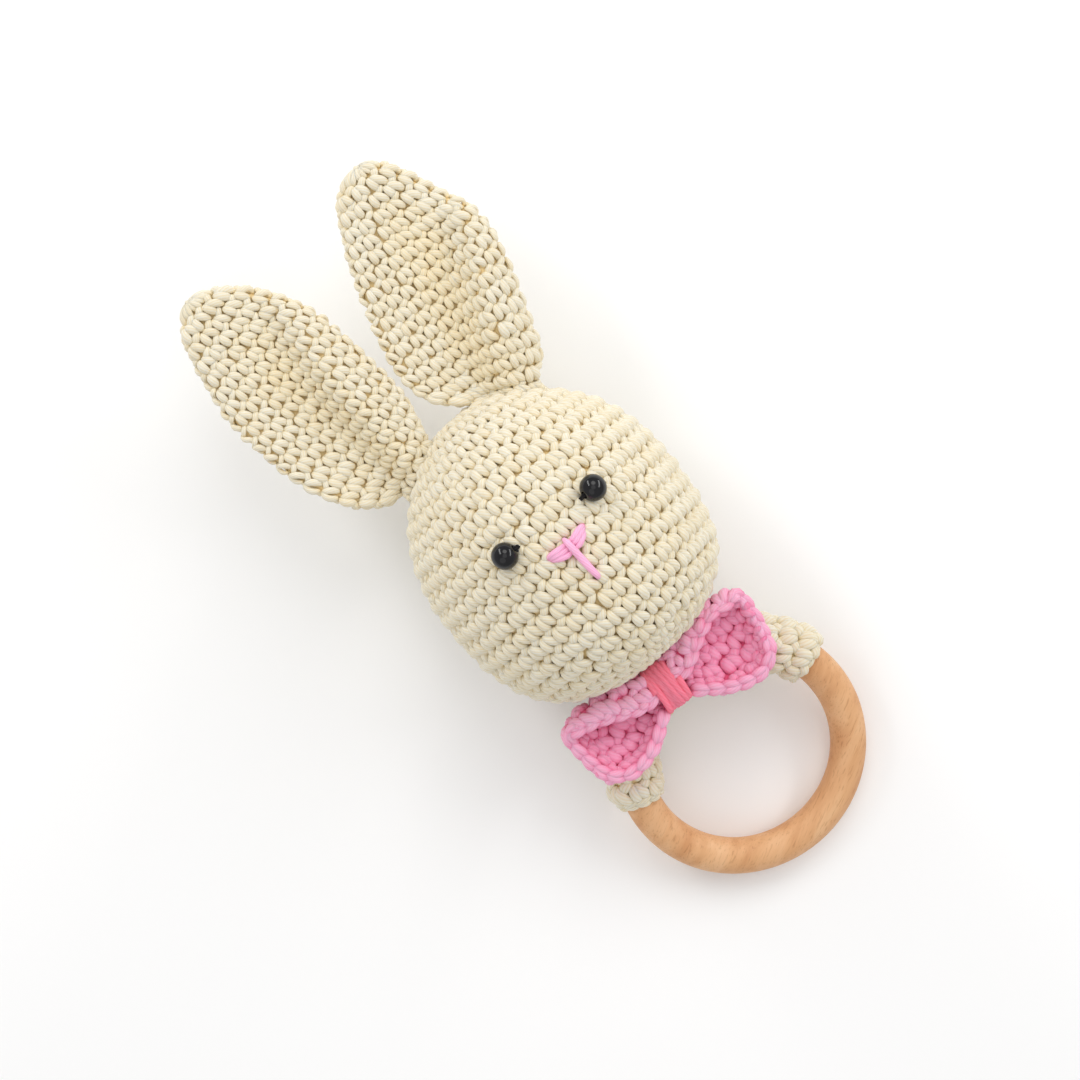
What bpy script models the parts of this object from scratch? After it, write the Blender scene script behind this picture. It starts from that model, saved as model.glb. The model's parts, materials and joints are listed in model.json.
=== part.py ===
"""Crocheted bunny baby rattle: a stuffed head with two cupped ears, bead eyes and an
embroidered nose, sewn to a crocheted sleeve round a wooden teething ring, with a bow
on the sleeve and a rattle capsule inside the stuffing.

The rattle lies on its back: +Z is up and out of the face, +Y points to the ear tips
and +X to the right of someone looking at the face. Driving dimensions are in
millimetres, in a frame with x and y zero at the ring's centre; the empty
rattle_origin moves that frame so the whole rattle stands on the world origin.
"""

import math

import bmesh
import bpy
from mathutils import Matrix, Vector

MM = 0.001

# ---------------------------------------------------------------- driving dimensions
ORIGIN_SHIFT = (6.305, -74.440, 0.0)  # ring-centred frame to the rattle's own frame

# wooden ring: outside diameter 70, round section 10
RING_MAJOR = 30.0
RING_MINOR = 5.0
RING_TILT = 14.0  # degrees; the ring droops from the neck to the table
RING_CENTRE_Z = RING_MINOR + RING_MAJOR * math.sin(math.radians(RING_TILT)) + 0.05

# crocheted sleeve round the ring
SLEEVE_INNER = 5.6
SLEEVE_OUTER = 7.2
SLEEVE_START = 16.0  # degrees from +X
SLEEVE_END = 166.0

# stuffed head, turned about an axis along +Y
HEAD_X = -2.4
HEAD_Z = 34.0  # the back is flattened where it rests
HEAD_WALL = 3.4
NECK_R = 7.5
HEAD_PROFILE = [  # (radius, y) from the crown to the neck opening
    (0.0, 116.7), (6.0, 116.1), (12.0, 114.2), (18.0, 111.1), (23.6, 106.6),
    (28.2, 101.6), (31.4, 96.8), (34.0, 90.8), (35.8, 83.6), (36.5, 75.4),
    (36.2, 66.0), (35.0, 57.6), (32.6, 50.4), (28.6, 44.6), (23.2, 40.4),
    (17.0, 37.6), (12.0, 36.2), (NECK_R, 35.7),
]

# ears: outline half-widths either side of a straight middle line, by distance
EAR_THICK = 7.0
EAR_BASE_THICK = 4.0
EAR_BACK_FOLD, EAR_FRONT_FOLD = 20.0, 60.0  # degrees either way from rest, about X
EAR_CLEAR = 2.5  # room between the head and an ear's end, filled by the seam
EARS = {
    "ear_left": {
        "base": (-23.0, 111.2, 34.0), "lean": (-0.188, 0.982), "rise": 7.0,
        "hinge": (-21.0, 112.0, 34.0), "length": 73.2, "shear": (0.30, 0.30),
        "ridge": [(-5, 2.5), (5, 3.0), (12, 3.8), (30, 6.5), (45, 11.0), (57, 15.5), (74, 16.0)],
        "fold": [(-5, 4.0), (5, 5.8), (20, 7.4), (35, 7.2), (50, 4.8), (62, 1.6), (74, 0.0)],
        "left_rise": [(-5, 3.0), (5, 4.5), (20, 5.0), (40, 4.0), (60, 1.5), (74, 0.5)],
        "left": [(0, 3.4), (4, 8.8), (8, 12.8), (14, 16.2), (22, 18.5), (32, 18.9),
                 (42, 18.5), (50, 16.4), (58, 13.4), (64, 11.0), (68.5, 8.4), (71.4, 5.2), (73.2, 1.4)],
        "right": [(0, 12.4), (4, 14.4), (8, 16.0), (14, 17.4), (22, 18.4), (32, 19.4),
                  (42, 19.8), (50, 18.9), (58, 16.1), (64, 12.8), (68.5, 9.2), (71.4, 5.4), (73.2, 1.4)],
    },
    "ear_right": {
        "base": (14.6, 113.4, 34.0), "lean": (0.066, 0.998), "rise": 7.0,
        "hinge": (13.0, 113.8, 34.0), "length": 68.8, "shear": (-0.05, -0.36),
        "ridge": [(-5, -2.0), (6, -1.0), (15, 2.0), (30, 8.4), (40, 13.0), (52, 16.0), (70, 16.0)],
        "fold": [(-5, 4.0), (6, 6.0), (20, 7.4), (32, 7.2), (45, 4.8), (58, 1.6), (70, 0.0)],
        "left_rise": [(-5, 3.0), (5, 4.5), (20, 5.0), (40, 3.5), (58, 1.5), (70, 0.5)],
        "left": [(0, 8.6), (3, 13.6), (6, 17.6), (10, 21.0), (15, 23.0), (21, 23.5), (28, 23.0),
                 (38, 21.0), (46, 18.4), (54, 15.4), (60, 12.8), (64.4, 10.2), (67.2, 6.8), (68.8, 1.6)],
        "right": [(0, 6.4), (4, 9.4), (8, 12.0), (14, 13.6), (20, 15.6), (28, 18.0),
                  (38, 19.3), (46, 17.6), (54, 13.2), (60, 10.2), (64.4, 7.4), (67.2, 4.6), (68.8, 1.4)],
    },
}
EAR_SECTION_POINTS = 40

# face
EYE_R = 3.45
EYE_HOLE_R = 0.75
EYES = {"left": (-14.3, 80.2), "right": (11.4, 79.4)}
STITCH_CLEAR = 0.4

# bow: (x, bottom y, top y) of the gathered crochet piece
BOW_OUTLINE = [
    (-33.9, 23.5, 32.4), (-33.0, 20.8, 34.4), (-30.4, 17.6, 35.8), (-26.0, 15.4, 36.2),
    (-21.5, 15.2, 35.4), (-17.0, 16.4, 34.6), (-13.0, 19.2, 33.6), (-9.8, 22.4, 33.0),
    (-8.6, 24.2, 32.2), (-4.65, 24.4, 32.0), (-0.8, 24.2, 32.2), (0.6, 22.6, 33.2),
    (4.0, 19.6, 34.4), (8.5, 16.4, 35.4), (13.0, 14.2, 36.4), (17.5, 14.2, 36.8),
    (21.5, 18.0, 36.6), (24.4, 22.8, 34.2), (25.9, 27.0, 31.6),
]
BOW_THICK = 4.0
BOW_Z = 29.6
KNOT_X, KNOT_Y, KNOT_Z = -4.65, 28.2, 32.6
WRAP_HALF_Y, WRAP_HALF_Z, WRAP_WIDTH, WRAP_WALL = 6.4, 5.6, 7.4, 1.6

# rattle capsule and its pellets, in the middle of the stuffing
CAPSULE_Y = 74.0
CAPSULE_R = 14.0
CAPSULE_WALL = 1.2
PELLET_R = 2.2
PELLET_RING = 4.9
PELLETS = 5


# ---------------------------------------------------------------- helpers
def clear_scene():
    for obj in list(bpy.data.objects):
        bpy.data.objects.remove(obj, do_unlink=True)


def material(name, colour, roughness, metallic=0.0):
    mat = bpy.data.materials.new(name)
    mat.use_nodes = True
    shader = mat.node_tree.nodes["Principled BSDF"]
    shader.inputs["Base Color"].default_value = (*colour, 1.0)
    shader.inputs["Roughness"].default_value = roughness
    shader.inputs["Metallic"].default_value = metallic
    mat.diffuse_color = (*colour, 1.0)
    return mat


def adopt(obj, mat=None, cutter=False):
    """Puts an object in the rattle's collection under the origin empty."""
    for old in list(obj.users_collection):
        old.objects.unlink(obj)
    (CUTTERS if cutter else RATTLE).objects.link(obj)
    obj.parent = ORIGIN
    if mat:
        obj.data.materials.clear()
        obj.data.materials.append(mat)
    if cutter:
        obj.hide_render = True
        obj.display_type = "WIRE"
    return obj


def mesh_object(name, bm, mat=None, cutter=False, smooth=True):
    bmesh.ops.recalc_face_normals(bm, faces=bm.faces)
    mesh = bpy.data.meshes.new(name)
    bm.to_mesh(mesh)
    bm.free()
    if smooth:
        mesh.shade_smooth()
        mesh.set_sharp_from_angle(angle=math.radians(50))
    return adopt(bpy.data.objects.new(name, mesh), mat, cutter)


def eased(table, at):
    """Smooth curve through (key, value) pairs, clamped at the ends."""
    if at <= table[0][0]:
        return table[0][1]
    if at >= table[-1][0]:
        return table[-1][1]
    for i in range(len(table) - 1):
        (x0, y0), (x1, y1) = table[i], table[i + 1]
        if at <= x1:
            def slope(j):
                lo, hi = max(j - 1, 0), min(j + 1, len(table) - 1)
                return (table[hi][1] - table[lo][1]) / (table[hi][0] - table[lo][0])
            h = x1 - x0
            t = (at - x0) / h
            return (
                (2 * t**3 - 3 * t**2 + 1) * y0 + (t**3 - 2 * t**2 + t) * h * slope(i)
                + (-2 * t**3 + 3 * t**2) * y1 + (t**3 - t**2) * h * slope(i + 1)
            )
    return table[-1][1]


def smoothstep(x):
    x = min(max(x, 0.0), 1.0)
    return x * x * (3 - 2 * x)


def turned(name, profile, axis, steps, mat=None, cutter=False, angle=360.0, wall=0.0, closed=False):
    """A profile of (radius, along) pairs in mm turned about an axis by a Screw modifier."""
    bm = bmesh.new()
    rows = [bm.verts.new((r * MM, y * MM, 0) if axis == "Y" else (r * MM, 0, y * MM)) for r, y in profile]
    ends = list(zip(rows, rows[1:]))
    if closed:
        ends.append((rows[-1], rows[0]))
    for a, b in ends:
        bm.edges.new((a, b))
    mesh = bpy.data.meshes.new(name)
    bm.to_mesh(mesh)
    bm.free()
    obj = adopt(bpy.data.objects.new(name, mesh), mat, cutter)
    screw = obj.modifiers.new("turn", "SCREW")
    screw.axis = axis
    screw.angle = math.radians(angle)
    screw.steps = screw.render_steps = steps
    screw.use_merge_vertices = True
    screw.merge_threshold = 0.00001
    screw.use_normal_calculate = True
    screw.use_smooth_shade = True
    if wall:
        solidify = obj.modifiers.new("wall", "SOLIDIFY")
        solidify.thickness = wall * MM
        solidify.offset = -1.0
        solidify.use_even_offset = True
    return obj


def cut(obj, cutter, operation="DIFFERENCE"):
    boolean = obj.modifiers.new("cut_" + cutter.name, "BOOLEAN")
    boolean.operation = operation
    boolean.object = cutter
    boolean.solver = "EXACT"


def yarn(name, points, radius, mat, cyclic=False, resolution=2):
    """A round strand through points in mm, as a bevelled curve."""
    curve = bpy.data.curves.new(name, "CURVE")
    curve.dimensions = "3D"
    spline = curve.splines.new("POLY")
    spline.points.add(len(points) - 1)
    for point, place in zip(spline.points, points):
        point.co = (place[0] * MM, place[1] * MM, place[2] * MM, 1.0)
    spline.use_cyclic_u = cyclic
    curve.bevel_depth = radius * MM
    curve.bevel_resolution = resolution
    curve.use_fill_caps = not cyclic
    return adopt(bpy.data.objects.new(name, curve), mat)


def block(name, low, high):
    """A box cutter between two corners in mm."""
    bm = bmesh.new()
    bmesh.ops.create_cube(bm, size=1.0)
    size = [(b - a) * MM for a, b in zip(low, high)]
    middle = [(a + b) / 2 * MM for a, b in zip(low, high)]
    bmesh.ops.transform(bm, matrix=Matrix.Translation(middle) @ Matrix.Diagonal((*size, 1.0)), verts=bm.verts)
    return mesh_object(name, bm, cutter=True, smooth=False)


def loft(name, sections, mat, first_centre=None):
    """A closed skin through rings of points in mm, with a fan at each end."""
    bm = bmesh.new()
    rings = [[bm.verts.new([c * MM for c in point]) for point in section] for section in sections]
    count = len(rings[0])
    for low, high in zip(rings, rings[1:]):
        for i in range(count):
            j = (i + 1) % count
            bm.faces.new((low[i], low[j], high[j], high[i]))
    for ring, flip in ((rings[0], True), (rings[-1], False)):
        middle = sum((v.co for v in ring), Vector()) / count
        if flip and first_centre:
            middle = first_centre * MM
        centre = bm.verts.new(middle)
        for i in range(count):
            j = (i + 1) % count
            bm.faces.new((ring[j], ring[i], centre) if flip else (ring[i], ring[j], centre))
    return mesh_object(name, bm, mat)


# ---------------------------------------------------------------- the head's surface
def head_radius_at(y):
    table = sorted((py, pr) for pr, py in HEAD_PROFILE)
    return eased(table, y)


def head_front_z(x, y):
    """Height of the face at (x, y)."""
    radius = head_radius_at(y)
    return HEAD_Z + math.sqrt(max(radius**2 - (x - HEAD_X) ** 2, 0.0))


def head_normal(x, y):
    step = 0.5
    here = head_front_z(x, y)
    dx = (head_front_z(x + step, y) - here) / step
    dy = (head_front_z(x, y + step) - here) / step
    return Vector((-dx, -dy, 1.0)).normalized()


def on_face(x, y, lift):
    """A point lifted off the face along its normal."""
    return Vector((x, y, head_front_z(x, y))) + head_normal(x, y) * lift


def build_head():
    cream = MATERIALS["cream_yarn"]
    shell = turned("head_cover", HEAD_PROFILE, "Y", 28, cream, wall=HEAD_WALL)
    shell.location = (HEAD_X * MM, 0, HEAD_Z * MM)
    table = block("table_cutter", (-80, 0, -40), (80, 150, 0))
    cut(shell, table)

    inset = HEAD_WALL + 0.5
    inner = []
    for i, (r, y) in enumerate(HEAD_PROFILE):
        lo, hi = HEAD_PROFILE[max(i - 1, 0)], HEAD_PROFILE[min(i + 1, len(HEAD_PROFILE) - 1)]
        along = Vector((hi[0] - lo[0], hi[1] - lo[1])).normalized()
        inner.append((max(r + along.y * inset, 0.0), y - along.x * inset))
    inner = [p for p in inner if p[0] > 4.0]
    inner = [(0.0, inner[0][1] + 0.4)] + inner[::2] + [(0.0, inner[-1][1])]
    capsule_room = bmesh.new()
    bmesh.ops.create_uvsphere(capsule_room, u_segments=20, v_segments=12, radius=(CAPSULE_R + 0.5) * MM)
    room = mesh_object("capsule_room_cutter", capsule_room, cutter=True)
    room.location = (HEAD_X * MM, CAPSULE_Y * MM, HEAD_Z * MM)
    front_half = block("front_half_cutter", (-80, 0, HEAD_Z - 0.2), (80, 150, 120))
    back_half = block("back_half_cutter", (-80, 0, -40), (80, 150, HEAD_Z + 0.2))
    skin = block("back_fill_cutter", (-80, 0, -40), (80, 150, HEAD_WALL + 0.5))
    for name, halves in (("stuffing_front", (back_half,)), ("stuffing_back", (front_half, skin))):
        fill = turned(name, inner, "Y", 18, MATERIALS["fibrefill"])
        fill.location = (HEAD_X * MM, 0, HEAD_Z * MM)
        for half in halves:
            cut(fill, half)
        cut(fill, room)

    dome = [(CAPSULE_R * math.cos(a), CAPSULE_R * math.sin(a)) for a in [math.radians(1.2 + 88.8 * i / 6) for i in range(7)]]
    dome[-1] = (0.0, CAPSULE_R)
    for name, flip in (("capsule_lid", 1), ("capsule_cup", -1)):
        shape = dome[::-1] if flip > 0 else [(r, -z) for r, z in dome]
        half = turned(name, shape, "Z", 20, MATERIALS["capsule"], wall=CAPSULE_WALL)
        half.location = (HEAD_X * MM, CAPSULE_Y * MM, HEAD_Z * MM)

    inside = CAPSULE_R - CAPSULE_WALL - PELLET_R - 0.45
    drop = math.sqrt(inside**2 - PELLET_RING**2)
    for i in range(PELLETS):
        around = 2 * math.pi * i / PELLETS + math.pi / 2
        bm = bmesh.new()
        bmesh.ops.create_icosphere(bm, subdivisions=2, radius=PELLET_R * MM)
        pellet = mesh_object(f"pellet_{i + 1}", bm, MATERIALS["pellet"])
        pellet.location = (
            (HEAD_X + PELLET_RING * math.cos(around)) * MM,
            (CAPSULE_Y + PELLET_RING * math.sin(around)) * MM,
            (HEAD_Z - drop) * MM,
        )


# ---------------------------------------------------------------- face
def build_face():
    for side, (x, y) in EYES.items():
        lift = EYE_R + STITCH_CLEAR
        centre = on_face(x, y, lift)
        normal = head_normal(x, y)
        around = [math.radians(a) for a in range(-78, 79, 13)]
        bead = [(EYE_R * math.cos(a), EYE_R * math.sin(a)) for a in around]
        hole = [(EYE_HOLE_R, bead[-1][1]), (EYE_HOLE_R, bead[0][1])]
        bead = turned(f"eye_bead_{side}", (bead[::-1] + hole[::-1]), "Z", 18, MATERIALS["bead"], closed=True)
        across = Vector((1, 0, 0)) - normal * normal.x
        across.normalize()
        frame = Matrix((normal, across.cross(normal) * -1, across)).transposed()
        bead.matrix_local = Matrix.Translation(centre * MM) @ frame.to_4x4()
        reach = EYE_R * 0.98
        path = [
            on_face(x - reach - 1.1, y, 0.75), centre - across * (reach + 0.55) - normal * 1.5,
            centre - across * (reach + 0.1) - normal * 0.25, centre - across * (reach - 0.8), centre,
            centre + across * (reach - 0.8), centre + across * (reach + 0.1) - normal * 0.25,
            centre + across * (reach + 0.55) - normal * 1.5, on_face(x + reach + 1.1, y, 0.75),
        ]
        yarn(f"eye_thread_{side}", path, 0.36, MATERIALS["black_thread"], resolution=1)

    for name, path, radius in (
        ("nose_stitch_left", [(-7.4, 73.3), (-6.0, 73.1), (-4.4, 72.6), (-2.9, 71.9)], 1.25),
        ("nose_stitch_right", [(4.6, 74.1), (3.3, 73.7), (1.7, 73.0), (0.3, 72.2)], 1.25),
        ("mouth_stitch", [(-1.2, 74.4), (-1.2, 72.6), (-1.15, 70.2), (-1.0, 67.4), (-0.85, 64.6), (-0.7, 61.8)], 0.95),
    ):
        yarn(name, [on_face(px, py, radius + STITCH_CLEAR) for px, py in path], radius, MATERIALS["pink_yarn"])


# ---------------------------------------------------------------- ears
def ear_frame(spec):
    rise = math.radians(spec["rise"])
    lean = Vector((spec["lean"][0], spec["lean"][1], 0)).normalized()
    along = (lean * math.cos(rise) + Vector((0, 0, math.sin(rise)))).normalized()
    across = Vector((lean.y, -lean.x, 0))
    return Vector(spec["base"]), along, across, across.cross(along)


def ear_point(spec, s, q, offset):
    """A point of the ear, hollow on its left and folded up on its right: s along it, q across it, offset out of its face."""
    base, along, across, out = ear_frame(spec)
    left, right = eased(spec["left"], s), eased(spec["right"], s)
    cup = 0.35 + 0.65 * smoothstep(s / 20.0)
    ridge = eased(spec["ridge"], s)
    inner = min(max((ridge - 5.0 - q) / max(left + ridge - 5.0, 1.0), 0.0), 1.2)
    beyond = min(max((q - ridge) / max(right - ridge, 1.0), 0.0), 1.2)
    wall = smoothstep((q - ridge + 6.5) / 9.0)
    height = eased(spec["left_rise"], s) * inner**2.2 + eased(spec["fold"], s) * (wall - 0.28 * beyond**2)
    slant = q * spec["shear"][q > 0] * max(0.0, 1.0 - s / 24.0)
    return base + along * (s + slant) + across * q + out * (height * cup + offset)


def on_crown(x, z, lift):
    """A point lifted off the crown of the head, above (x, z)."""
    crown = [(r, y) for r, y in HEAD_PROFILE if y > 75.0]
    radial = math.hypot(x - HEAD_X, z - HEAD_Z)
    y = eased(crown, radial)
    slope = (eased(crown, radial + 0.3) - y) / 0.3
    out = Vector((-slope * (x - HEAD_X) / radial, 1.0, -slope * (z - HEAD_Z) / radial)).normalized()
    return Vector((x, y, z)) + out * lift


def first_clear(spec, q_share, offset_share):
    """How far up the ear its end must start to miss the head at every fold angle."""
    hinge = Vector(spec["hinge"])
    crown = [(r, y) for r, y in HEAD_PROFILE if y > 75.0]
    s = -2.0
    while s < 25.0:
        point = ear_skin(spec, s, q_share, offset_share) - hinge
        clear = True
        for i in range(17):
            angle = math.radians(-EAR_BACK_FOLD + (EAR_BACK_FOLD + EAR_FRONT_FOLD) * i / 16)
            turned_point = hinge + Matrix.Rotation(angle, 3, "X") @ point
            radial = math.hypot(turned_point.x - HEAD_X, turned_point.z - HEAD_Z)
            slope = (eased(crown, radial + 0.3) - eased(crown, radial)) / 0.3
            room = EAR_CLEAR * math.sqrt(1.0 + slope * slope)
            if radial < 36.0 and turned_point.y < eased(crown, radial) + room:
                clear = False
                break
        if clear:
            break
        s += 0.1
    return s


def ear_skin(spec, s, q_share, offset_share):
    """A point of the ear's skin; its lines run along the fold. Shares go from its left edge, -1, to its right, 1."""
    left, right = eased(spec["left"], s), eased(spec["right"], s)
    ridge = min(eased(spec["ridge"], s), 0.62 * right)
    if q_share < 0.3:
        q = -left + (q_share + 1.0) / 1.3 * (ridge + left)
    else:
        q = ridge + (q_share - 0.3) / 0.7 * (right - ridge)
    thick = EAR_BASE_THICK + (EAR_THICK - EAR_BASE_THICK) * smoothstep(s / 22.0)
    thick *= 1.0 - 0.55 * smoothstep((s - spec["length"] + 9.0) / 9.0)
    return ear_point(spec, s, q, offset_share * thick / 2)


def build_ears():
    for name, spec in EARS.items():
        around = [2 * math.pi * (i + 0.5) / EAR_SECTION_POINTS for i in range(EAR_SECTION_POINTS)]
        shares = [(math.cos(a), math.copysign(abs(math.sin(a)) ** 0.75, math.sin(a))) for a in around]
        starts = [first_clear(spec, *share) for share in shares]
        stations = [0.0, 0.03, 0.07, 0.12, 0.17, 0.22, 0.28, 0.34, 0.4, 0.46, 0.52, 0.58, 0.64, 0.7, 0.76,
                    0.82, 0.87, 0.91, 0.945, 0.97, 0.988, 1.0]
        sections = [
            [ear_skin(spec, start + (spec["length"] - start) * part, *share) for share, start in zip(shares, starts)]
            for part in stations
        ]
        hollow = max(first_clear(spec, share, 0.0) for share in (-0.5, -0.25, 0.0, 0.25, 0.5))
        loft(name, sections, MATERIALS["cream_yarn"], first_centre=ear_skin(spec, hollow + 0.4, 0.0, 0.0))
        seam = []
        for i in range(18):
            a = 2 * math.pi * i / 18
            seam.append(on_crown(spec["hinge"][0] + 7.6 * math.cos(a), HEAD_Z + 4.0 * math.sin(a), 1.15))
        yarn(name + "_seam", seam, 0.8, MATERIALS["cream_yarn"], cyclic=True)


# ---------------------------------------------------------------- ring and sleeve
def build_ring():
    tilt = Matrix.Rotation(math.radians(RING_TILT), 4, "X")
    place = Matrix.Translation((0, 0, RING_CENTRE_Z * MM)) @ tilt
    circle = [
        (RING_MAJOR + RING_MINOR * math.cos(a), RING_MINOR * math.sin(a))
        for a in [2 * math.pi * i / 14 for i in range(14)]
    ]
    ring = turned("wooden_ring", circle[::-1], "Z", 48, MATERIALS["beech"], closed=True)
    ring.matrix_local = place

    tube = [
        (RING_MAJOR + SLEEVE_OUTER * math.cos(a), SLEEVE_OUTER * math.sin(a))
        for a in [2 * math.pi * i / 14 for i in range(14)]
    ]
    sleeve = turned("ring_sleeve", tube[::-1], "Z", 18, MATERIALS["cream_yarn"], closed=True,
                    angle=SLEEVE_END - SLEEVE_START, wall=SLEEVE_OUTER - SLEEVE_INNER)
    sleeve.matrix_local = place @ Matrix.Rotation(math.radians(SLEEVE_START), 4, "Z")

    # neck seam: a loop of yarn in the crease between the head and the sleeve
    loop = []
    lower_head = [(r, y) for r, y in reversed(HEAD_PROFILE) if y < 60.0]
    for i in range(20):
        a = 2 * math.pi * i / 20
        x = HEAD_X + 11.5 * math.cos(a)
        z = 20.3 + 7.8 * math.sin(a)
        radial = math.hypot(x - HEAD_X, z - HEAD_Z)
        y = eased(lower_head, radial) - 1.45
        loop.append((x, y, z))
    yarn("neck_seam", loop, 0.8, MATERIALS["cream_yarn"], cyclic=True)


# ---------------------------------------------------------------- bow
def bow_ring(x, bottom, top):
    """One closed section of the bow across X, cupped forwards at its top edge."""
    away = smoothstep((abs(x - KNOT_X) - 4.5) / 9.0)
    middle, half = (bottom + top) / 2, (top - bottom) / 2
    points = []
    for i in range(14):
        a = 2 * math.pi * (i + 0.5) / 14
        t = math.cos(a)
        edge = 1.0 if away < 0.5 else 0.8
        thick = BOW_THICK / 2 * math.copysign(abs(math.sin(a)) ** edge, math.sin(a))
        height = (6.5 * max(t, 0.0) ** 1.6 + 3.5 * max(-t, 0.0) ** 1.8) * away
        round_z = KNOT_Z + 3.4 * math.sin(a)
        flat_z = BOW_Z + height + thick
        points.append((x, middle + half * t, round_z * (1 - away) + flat_z * away))
    return points


def build_bow():
    loft("bow", [bow_ring(*row) for row in BOW_OUTLINE], MATERIALS["pink_yarn"])
    bm = bmesh.new()
    around = bmesh.ops.create_circle(bm, segments=20, radius=1.0)["verts"]
    turn = Matrix.Rotation(math.radians(90), 4, "Y")
    shape = Matrix.Diagonal((1.0, WRAP_HALF_Y * MM, WRAP_HALF_Z * MM, 1.0))
    bmesh.ops.transform(bm, matrix=shape @ turn, verts=around)
    for vert in around:
        vert.co.x = -WRAP_WIDTH / 2 * MM
    grown = bmesh.ops.extrude_edge_only(bm, edges=bm.edges[:])["geom"]
    bmesh.ops.translate(bm, vec=(WRAP_WIDTH * MM, 0, 0), verts=[g for g in grown if isinstance(g, bmesh.types.BMVert)])
    band = mesh_object("bow_wrap", bm, MATERIALS["coral_yarn"])
    band.location = (KNOT_X * MM, KNOT_Y * MM, KNOT_Z * MM)
    wall = band.modifiers.new("wall", "SOLIDIFY")
    wall.thickness = WRAP_WALL * MM
    wall.offset = -1.0


# ---------------------------------------------------------------- assembly
clear_scene()
RATTLE = bpy.data.collections.new("bunny_rattle")
CUTTERS = bpy.data.collections.new("cutters")
bpy.context.scene.collection.children.link(RATTLE)
bpy.context.scene.collection.children.link(CUTTERS)
CUTTERS.hide_render = True
ORIGIN = bpy.data.objects.new("rattle_origin", None)
RATTLE.objects.link(ORIGIN)
ORIGIN.location = [c * MM for c in ORIGIN_SHIFT]
MATERIALS = {
    "cream_yarn": material("cream_yarn", (0.87, 0.78, 0.58), 0.85),
    "pink_yarn": material("pink_yarn", (0.90, 0.36, 0.58), 0.82),
    "coral_yarn": material("coral_yarn", (0.80, 0.20, 0.24), 0.82),
    "beech": material("beech", (0.60, 0.36, 0.20), 0.55),
    "bead": material("bead", (0.006, 0.006, 0.008), 0.08),
    "black_thread": material("black_thread", (0.012, 0.012, 0.014), 0.7),
    "fibrefill": material("fibrefill", (0.85, 0.85, 0.83), 0.95),
    "capsule": material("capsule", (0.80, 0.80, 0.78), 0.3),
    "pellet": material("pellet", (0.70, 0.70, 0.68), 0.3),
}
build_head()
build_face()
build_ears()
build_ring()
build_bow()
bpy.context.view_layer.update()
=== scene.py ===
"""Looks of the crocheted bunny rattle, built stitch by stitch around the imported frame.

Lengths are millimetres in the ring-centred frame of the CAD source until to_world() turns
them into metres in the row frame.
"""

import json
import math

import bpy
import numpy as np
from mathutils import Matrix, Vector

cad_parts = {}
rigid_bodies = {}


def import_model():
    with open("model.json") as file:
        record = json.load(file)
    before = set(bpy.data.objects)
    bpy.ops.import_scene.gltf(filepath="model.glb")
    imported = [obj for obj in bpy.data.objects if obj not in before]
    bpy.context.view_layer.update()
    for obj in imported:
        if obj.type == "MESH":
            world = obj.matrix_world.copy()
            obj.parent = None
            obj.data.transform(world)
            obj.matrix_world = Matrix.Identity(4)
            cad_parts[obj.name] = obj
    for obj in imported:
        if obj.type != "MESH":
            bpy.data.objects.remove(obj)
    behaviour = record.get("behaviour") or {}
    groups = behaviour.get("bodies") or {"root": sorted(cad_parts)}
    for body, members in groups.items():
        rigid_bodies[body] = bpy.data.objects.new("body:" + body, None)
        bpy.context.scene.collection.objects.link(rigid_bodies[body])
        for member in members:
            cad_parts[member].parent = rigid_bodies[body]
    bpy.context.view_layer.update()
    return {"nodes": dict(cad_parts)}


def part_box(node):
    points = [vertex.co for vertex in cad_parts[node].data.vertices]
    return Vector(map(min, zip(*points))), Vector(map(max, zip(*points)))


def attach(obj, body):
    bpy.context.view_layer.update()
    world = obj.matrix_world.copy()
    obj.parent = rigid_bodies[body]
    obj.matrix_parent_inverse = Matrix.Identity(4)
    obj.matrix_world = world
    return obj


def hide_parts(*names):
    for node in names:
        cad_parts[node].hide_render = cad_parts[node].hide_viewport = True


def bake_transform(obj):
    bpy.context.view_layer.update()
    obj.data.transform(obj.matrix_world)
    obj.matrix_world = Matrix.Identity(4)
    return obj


for leftover in list(bpy.data.objects):
    bpy.data.objects.remove(leftover)

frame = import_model()
TAU = 2 * math.pi

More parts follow.
